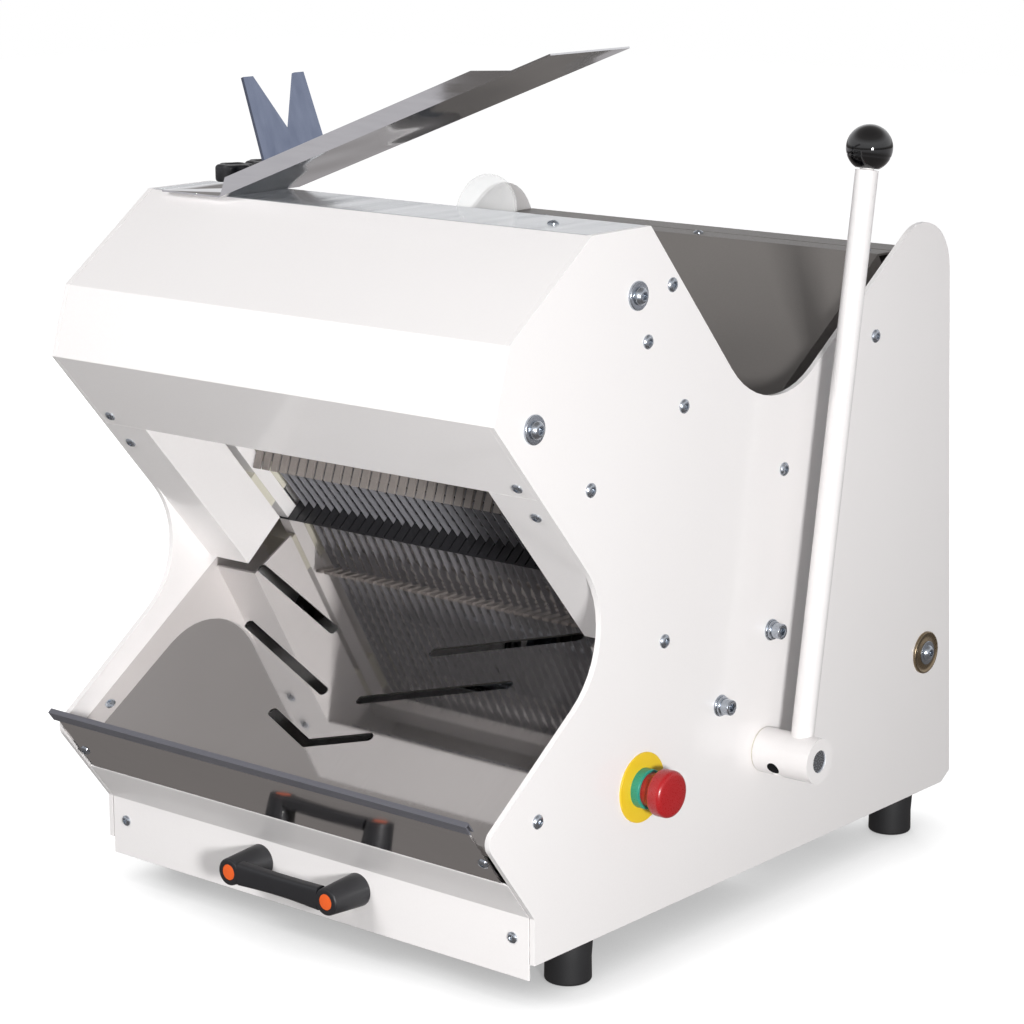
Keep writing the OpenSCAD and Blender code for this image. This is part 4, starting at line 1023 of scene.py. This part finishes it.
@dataclass
class DrawerHandle(Assembly):
    """Bow handle of the crumb drawer: two tapered legs, an arched bar and two inserts."""

    leg_r_mm: float = 12.0
    taper_mm: float = 2.5
    rim_mm: float = 1.2
    edge_mm: float = 2.0
    cap_r_mm: float = 7.0
    cap_gap_mm: float = 0.2
    cap_seat_mm: float = 1.5
    bar_deep_mm: float = 11.0
    bar_high_mm: float = 20.5
    bar_waist_share: float = 0.12
    bar_power: float = 4.5
    bar_stations: int = 25
    bar_points: int = 40
    arch_mm: float = 1.0
    insert_edge_mm: float = 0.4
    insert_wall_share: float = 0.5
    insert_edge_share: float = 0.6
    smooth_deg: float = 45.0

    def build(self) -> None:
        """Makes the handle and its inserts."""
        low, high = corners("drawer_handle")
        middle = (low + high) / 2
        caps = islands("handle_caps", Axis.Y.unit, -Axis.Y.unit)
        shape = Shape()
        leg = self.leg(float(high[1] - low[1]))
        for cap in caps:
            shape.add(leg, frame_along(-Axis.Y.unit), np.array([cap.base[0], high[1], middle[2]]))
        apart = abs(caps[0].base[0] - caps[1].base[0])
        sunk = (self.leg_r_mm - self.edge_mm) * MM
        self.bar(shape, np.array([middle[0], low[1], middle[2]]), apart - 2 * sunk)
        self.settle(shape, "drawer_bow_handle", BLACK_NYLON, "drawer", "drawer_handle", self.smooth_deg)
        self.inserts(caps)

    def leg(self, reach: float) -> np.ndarray:
        """Leg: a low rim, a cone, a round edge and a seat for the insert.

        Args:
            reach: Length of the leg.

        Returns:
            Revolved points.
        """
        wide, edge = self.leg_r_mm * MM, self.edge_mm * MM
        base = wide + self.taper_mm * MM
        seat_r = (self.cap_r_mm + self.cap_gap_mm) * MM
        seat = reach - self.cap_seat_mm * MM
        return revolve(np.vstack([
            [0.0, 0.0], [base, 0.0], [base, self.rim_mm * MM],
            arc((wide - edge, reach - edge), edge, steps=6), [seat_r, reach], [seat_r, seat], [0.0, seat]]))

    def bar(self, shape: Shape, front: np.ndarray, span: float) -> None:
        """Bar between the legs: a rounded rectangle |y/a|^n + |z/b|^n = 1 carried along a shallow arch.

        Args:
            shape: Shape that gets the bar.
            front: Middle of the handle's front.
            span: Length of the bar, whose ends sink into the legs.
        """
        along = np.linspace(-0.5, 0.5, self.bar_stations)[:, None]
        angle = np.linspace(0.0, 2.0 * math.pi, self.bar_points, endpoint=False)[None, :]
        power = 2.0 / self.bar_power
        deep, high = self.bar_deep_mm * MM / 2, self.bar_high_mm * MM / 2
        y = deep * np.sign(np.cos(angle)) * np.abs(np.cos(angle)) ** power
        z = high * np.sign(np.sin(angle)) * np.abs(np.sin(angle)) ** power
        bend = np.cos(along * math.pi)
        grid = np.stack([np.repeat(front[0] + along * span, self.bar_points, axis=1),
                         front[1] + deep + self.arch_mm * MM * bend + y,
                         front[2] + z * (1.0 - self.bar_waist_share * bend)], axis=-1)
        ends = np.repeat(grid[[0, -1]].mean(axis=1, keepdims=True), self.bar_points, axis=1)
        shape.add(np.concatenate([ends[:1], grid, ends[1:]]))

    def inserts(self, caps: list[Island]) -> None:
        """Shallow inserts with a round edge in the legs' front ends.

        Args:
            caps: Places of the CAD inserts.
        """
        shape = Shape()
        edge = self.insert_edge_mm * MM
        for cap in caps:
            wide, tall = cap.radius, cap.height
            profile = np.vstack([
                [0.0, 0.0], [wide, 0.0], [wide, tall * self.insert_wall_share],
                arc((wide - edge, tall * self.insert_edge_share), edge, steps=4), [0.0, tall]])
            shape.add(revolve(profile), frame_along(cap.axis), cap.base)
        self.settle(shape, "handle_inserts", ORANGE_PLASTIC, "drawer", "handle_caps")


@dataclass
class Feet(Assembly):
    """Rubber feet: tapered, with a rounded foot edge and a washer recess underneath."""

    edge_mm: float = 2.5
    top_edge_mm: float = 1.0
    taper_mm: float = 1.0
    waist_share: float = 0.985
    waist_height_share: float = 0.5
    recess_r_mm: float = 9.0
    recess_mm: float = 6.0
    smooth_deg: float = 45.0

    def build(self) -> None:
        """Makes all feet as one piece."""
        shape = Shape()
        edge, top_edge = self.edge_mm * MM, self.top_edge_mm * MM
        hole, deep = self.recess_r_mm * MM, self.recess_mm * MM
        for foot in islands("rubber_feet", Axis.Z.unit, Axis.Z.unit):
            low, tall = foot.radius - self.taper_mm * MM, foot.height
            profile = np.vstack([
                [0.0, deep], [hole, deep], [hole, 0.0],
                arc((low - edge, edge), edge, steps=6, start=-90.0, stop=0.0),
                [low * self.waist_share, tall * self.waist_height_share],
                arc((foot.radius - top_edge, tall - top_edge), top_edge, steps=4), [0.0, tall]])
            shape.add(revolve(profile), origin=foot.base)
        self.settle(shape, "feet", BLACK_RUBBER, "base", "rubber_feet", self.smooth_deg)


@dataclass
class CadDress:
    """Finishes of the CAD nodes, and softened edges on those in plain view."""

    palette: Palette
    nodes: dict[str, bpy.types.Object]
    flat_deg: float = 0.5
    sharp_deg: float = 25.0
    edge_segments: int = 2
    area_weight: int = 100

    def build(self) -> None:
        """Gives every node its material and the nodes in plain view their rounded edges."""
        for name, piece in self.nodes.items():
            piece.data.materials.clear()
            piece.data.materials.append(self.palette.of(NODE_FINISH[name]))
            if name in EDGE_MM:
                self.soften(piece, EDGE_MM[name] * MM)
            LOG.info("node %s", name)

    def soften(self, piece: bpy.types.Object, width: float) -> None:
        """Joins the triangles of each flat face and rounds the sharp edges with live modifiers.

        Args:
            piece: Object of a CAD node.
            width: Width of the rounding.
        """
        weld = piece.modifiers.new("weld", "WELD")
        weld.merge_threshold = WELD_DISTANCE
        flat = piece.modifiers.new("flat_faces", "DECIMATE")
        flat.decimate_type = "DISSOLVE"
        flat.angle_limit = math.radians(self.flat_deg)
        bevel = piece.modifiers.new("edge", "BEVEL")
        bevel.width = width
        bevel.segments = self.edge_segments
        bevel.limit_method = "ANGLE"
        bevel.angle_limit = math.radians(self.sharp_deg)
        bevel.use_clamp_overlap = True
        normal = piece.modifiers.new("face_normals", "WEIGHTED_NORMAL")
        normal.mode = "FACE_AREA"
        normal.weight = self.area_weight


@dataclass(frozen=True)
class Lamp:
    """Square soft light with its power in watts and the point that it faces.

    Bright sheets mirror it only where it says so.
    """

    name: str
    place: Point
    power: float
    size: float = 1.4
    aim: Point = (0.0, 0.0, 0.3)
    mirrored: bool = False

    def build(self) -> None:
        """Hangs the lamp and turns it to its aim."""
        data = bpy.data.lights.new(self.name, "AREA")
        data.energy = self.power
        data.size = self.size
        lamp = bpy.data.objects.new(self.name, data)
        bpy.context.scene.collection.objects.link(lamp)
        lamp.location = self.place
        lamp.visible_glossy = self.mirrored
        lamp.rotation_mode = "QUATERNION"
        lamp.rotation_quaternion = (Vector(self.aim) - Vector(self.place)).to_track_quat("-Z", "Y")


LAMPS = (
    Lamp("flash", (2.2, -1.65, 0.68), 64.0, size=0.3, aim=(0.0, -0.05, 0.3), mirrored=True),
    Lamp("front_softbox", (-0.9, -2.6, 2.3), 55.0),
    Lamp("rear_softbox", (-2.0, 1.9, 0.9), 60.0),
)
# The room that bright sheets mirror, from straight down (0) to straight up (1).
ROOM_TONES = ((0.40, "#5A5856"), (0.50, "#7C7876"), (0.55, "#E6E6E8"), (0.72, "#F8F8FA"), (0.86, "#A4A1A0"),
              (0.97, "#8E8B8A"))


@dataclass
class Studio:
    """White floor with contact shadows, soft light and the camera at the photograph's viewing angle."""

    lens_mm: float = 103.85
    sensor_mm: float = 36.0
    clip: tuple[float, float] = (0.05, 60.0)
    yaw_deg: float = 39.961
    pitch_deg: float = 12.992
    roll_deg: float = 0.150
    eye: Point = (1.6452, -1.99518, 0.92878)
    floor_half: float = 8.0
    floor_matt: str = "#959595"
    floor_near: float = 0.9
    floor_far: float = 3.0
    # Grey of the floor in mirrors, painted darker near the machine as its shade and paler further off.
    mirrored_floor_shade_tones: tuple[str, str] = ("#817D7B", "#C9C7CA")
    # Glow where something stands close: a painted contact shadow.
    painted_shadow_glow: float = 0.3
    glow_open: float = 0.97
    contact: float = 0.09
    fill: str = "#F2F3F6"
    fill_strength: float = 0.23

    def build(self) -> None:
        """Makes the stage, the lights and the camera."""
        bpy.context.scene.view_settings.view_transform = "Standard"
        self.camera()
        self.floor()
        self.world()
        for lamp in LAMPS:
            lamp.build()
        LOG.info("studio with %d lamps", len(LAMPS))

    def camera(self) -> None:
        """Camera from its place and its yaw, pitch and roll."""
        yaw, pitch, roll = (math.radians(a) for a in (self.yaw_deg, self.pitch_deg, self.roll_deg))
        level = math.cos(pitch)
        ahead = Vector((-math.sin(yaw) * level, math.cos(yaw) * level, -math.sin(pitch)))
        right = Vector((math.cos(yaw), math.sin(yaw), 0.0))
        down = ahead.cross(right)
        across = math.cos(roll) * right + math.sin(roll) * down
        below = -math.sin(roll) * right + math.cos(roll) * down
        data = bpy.data.cameras.new("photo_camera")
        data.lens = self.lens_mm
        data.sensor_width = self.sensor_mm
        data.clip_start, data.clip_end = self.clip
        eye = bpy.data.objects.new("photo_camera", data)
        bpy.context.scene.collection.objects.link(eye)
        turn = Matrix((across, -below, -ahead)).transposed().to_4x4()
        eye.matrix_world = Matrix.Translation(self.eye) @ turn
        bpy.context.scene.camera = eye

    def floor(self) -> None:
        """Square floor under the machine."""
        half = self.floor_half
        mesh = bpy.data.meshes.new("floor")
        square = [(-half, -half, 0.0), (half, -half, 0.0), (half, half, 0.0), (-half, half, 0.0)]
        mesh.from_pydata(square, [], [(0, 1, 2, 3)])
        floor = bpy.data.objects.new("floor", mesh)
        bpy.context.scene.collection.objects.link(floor)
        mesh.materials.append(self.floor_material())

    def floor_material(self) -> bpy.types.Material:
        """Floor that looks white, with a painted contact shadow where something stands close, and a painted
        shade of grey in mirrors that is darker near the machine.

        Returns:
            The floor's material.
        """
        material = bpy.data.materials.new("studio_floor")
        material.use_nodes = True
        tree = material.node_tree
        tree.nodes.clear()
        ray = add_node(tree, "ShaderNodeLightPath")
        matt = add_node(tree, "ShaderNodeBsdfDiffuse", {"Color": linear(self.floor_matt)})
        # Painted contact shadow: the floor's glow falls where ambient occlusion finds something close.
        free = add_node(tree, "ShaderNodeAmbientOcclusion", {"Distance": self.contact}).outputs["AO"]
        level = add_node(tree, "ShaderNodeMapRange", {"To Min": self.painted_shadow_glow, "To Max": self.glow_open},
                         {"Value": free}).outputs["Result"]
        strength = add_node(tree, "ShaderNodeMath", links={0: ray.outputs["Is Camera Ray"], 1: level},
                            operation="MULTIPLY").outputs["Value"]
        glow = add_node(tree, "ShaderNodeEmission", {"Color": linear(WHITE)}, {"Strength": strength})
        pale = add_node(tree, "ShaderNodeAddShader", links={0: matt.outputs[0], 1: glow.outputs[0]})
        # Painted shade in mirrors: a grey glow, darker near the machine and paler further off.
        place = add_node(tree, "ShaderNodeTexCoord").outputs["Object"]
        away = add_node(tree, "ShaderNodeVectorMath", links={0: place}, operation="LENGTH").outputs["Value"]
        share = add_node(tree, "ShaderNodeMapRange",
                         {"From Min": self.floor_near, "From Max": self.floor_far},
                         {"Value": away}).outputs["Result"]
        ramp = add_node(tree, "ShaderNodeValToRGB", links={"Fac": share})
        for stop, tone in zip(ramp.color_ramp.elements, self.mirrored_floor_shade_tones):
            stop.color = linear(tone)
        grey = add_node(tree, "ShaderNodeEmission", links={"Color": ramp.outputs["Color"]})
        seen = add_node(tree, "ShaderNodeMixShader",
                        links={"Fac": ray.outputs["Is Glossy Ray"], 1: pale.outputs[0], 2: grey.outputs[0]})
        add_node(tree, "ShaderNodeOutputMaterial", links={"Surface": seen.outputs[0]})
        return material

    def world(self) -> None:
        """White surroundings with a weak fill; mirrors see a room with a bright band above the floor."""
        world = bpy.data.worlds.new("studio")
        bpy.context.scene.world = world
        world.use_nodes = True
        tree = world.node_tree
        tree.nodes.clear()
        way = add_node(tree, "ShaderNodeTexCoord").outputs["Generated"]
        height = add_node(tree, "ShaderNodeSeparateXYZ", links={"Vector": way}).outputs["Z"]
        share = add_node(tree, "ShaderNodeMapRange", {"From Min": -1.0, "From Max": 1.0},
                         {"Value": height}).outputs["Result"]
        ramp = add_node(tree, "ShaderNodeValToRGB", links={"Fac": share})
        stops = ramp.color_ramp.elements
        lowest, *between, highest = ROOM_TONES
        for stop, (position, tone) in zip(stops, (lowest, highest)):
            stop.position = position
            stop.color = linear(tone)
        for position, tone in between:
            stops.new(position).color = linear(tone)
        ray = add_node(tree, "ShaderNodeLightPath")
        fill = add_node(tree, "ShaderNodeBackground",
                        {"Color": linear(self.fill), "Strength": self.fill_strength})
        room = add_node(tree, "ShaderNodeBackground", {"Strength": 1.0}, {"Color": ramp.outputs["Color"]})
        white = add_node(tree, "ShaderNodeBackground", {"Color": linear(WHITE), "Strength": 1.0})
        glossy, direct = (ray.outputs[kind] for kind in ("Is Glossy Ray", "Is Camera Ray"))
        mirrored = add_node(tree, "ShaderNodeMixShader",
                            links={"Fac": glossy, 1: fill.outputs[0], 2: room.outputs[0]})
        seen = add_node(tree, "ShaderNodeMixShader",
                        links={"Fac": direct, 1: mirrored.outputs[0], 2: white.outputs[0]})
        add_node(tree, "ShaderNodeOutputWorld", links={"Surface": seen.outputs[0]})


def main() -> None:
    """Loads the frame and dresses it."""
    logging.basicConfig(level=logging.INFO, format="%(name)s: %(message)s")
    for leftover in list(bpy.data.objects):
        bpy.data.objects.remove(leftover)
    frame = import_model()
    palette = Palette()
    CadDress(palette, frame["nodes"]).build()
    for assembly in (Fasteners, TieBolts, CollarBolts, LeverKnob, HubScrew, StopButton, ClampKnobs,
                     DrawerHandle, Feet):
        assembly(palette).build()
    Studio().build()


if __name__ == "__main__":
    main()
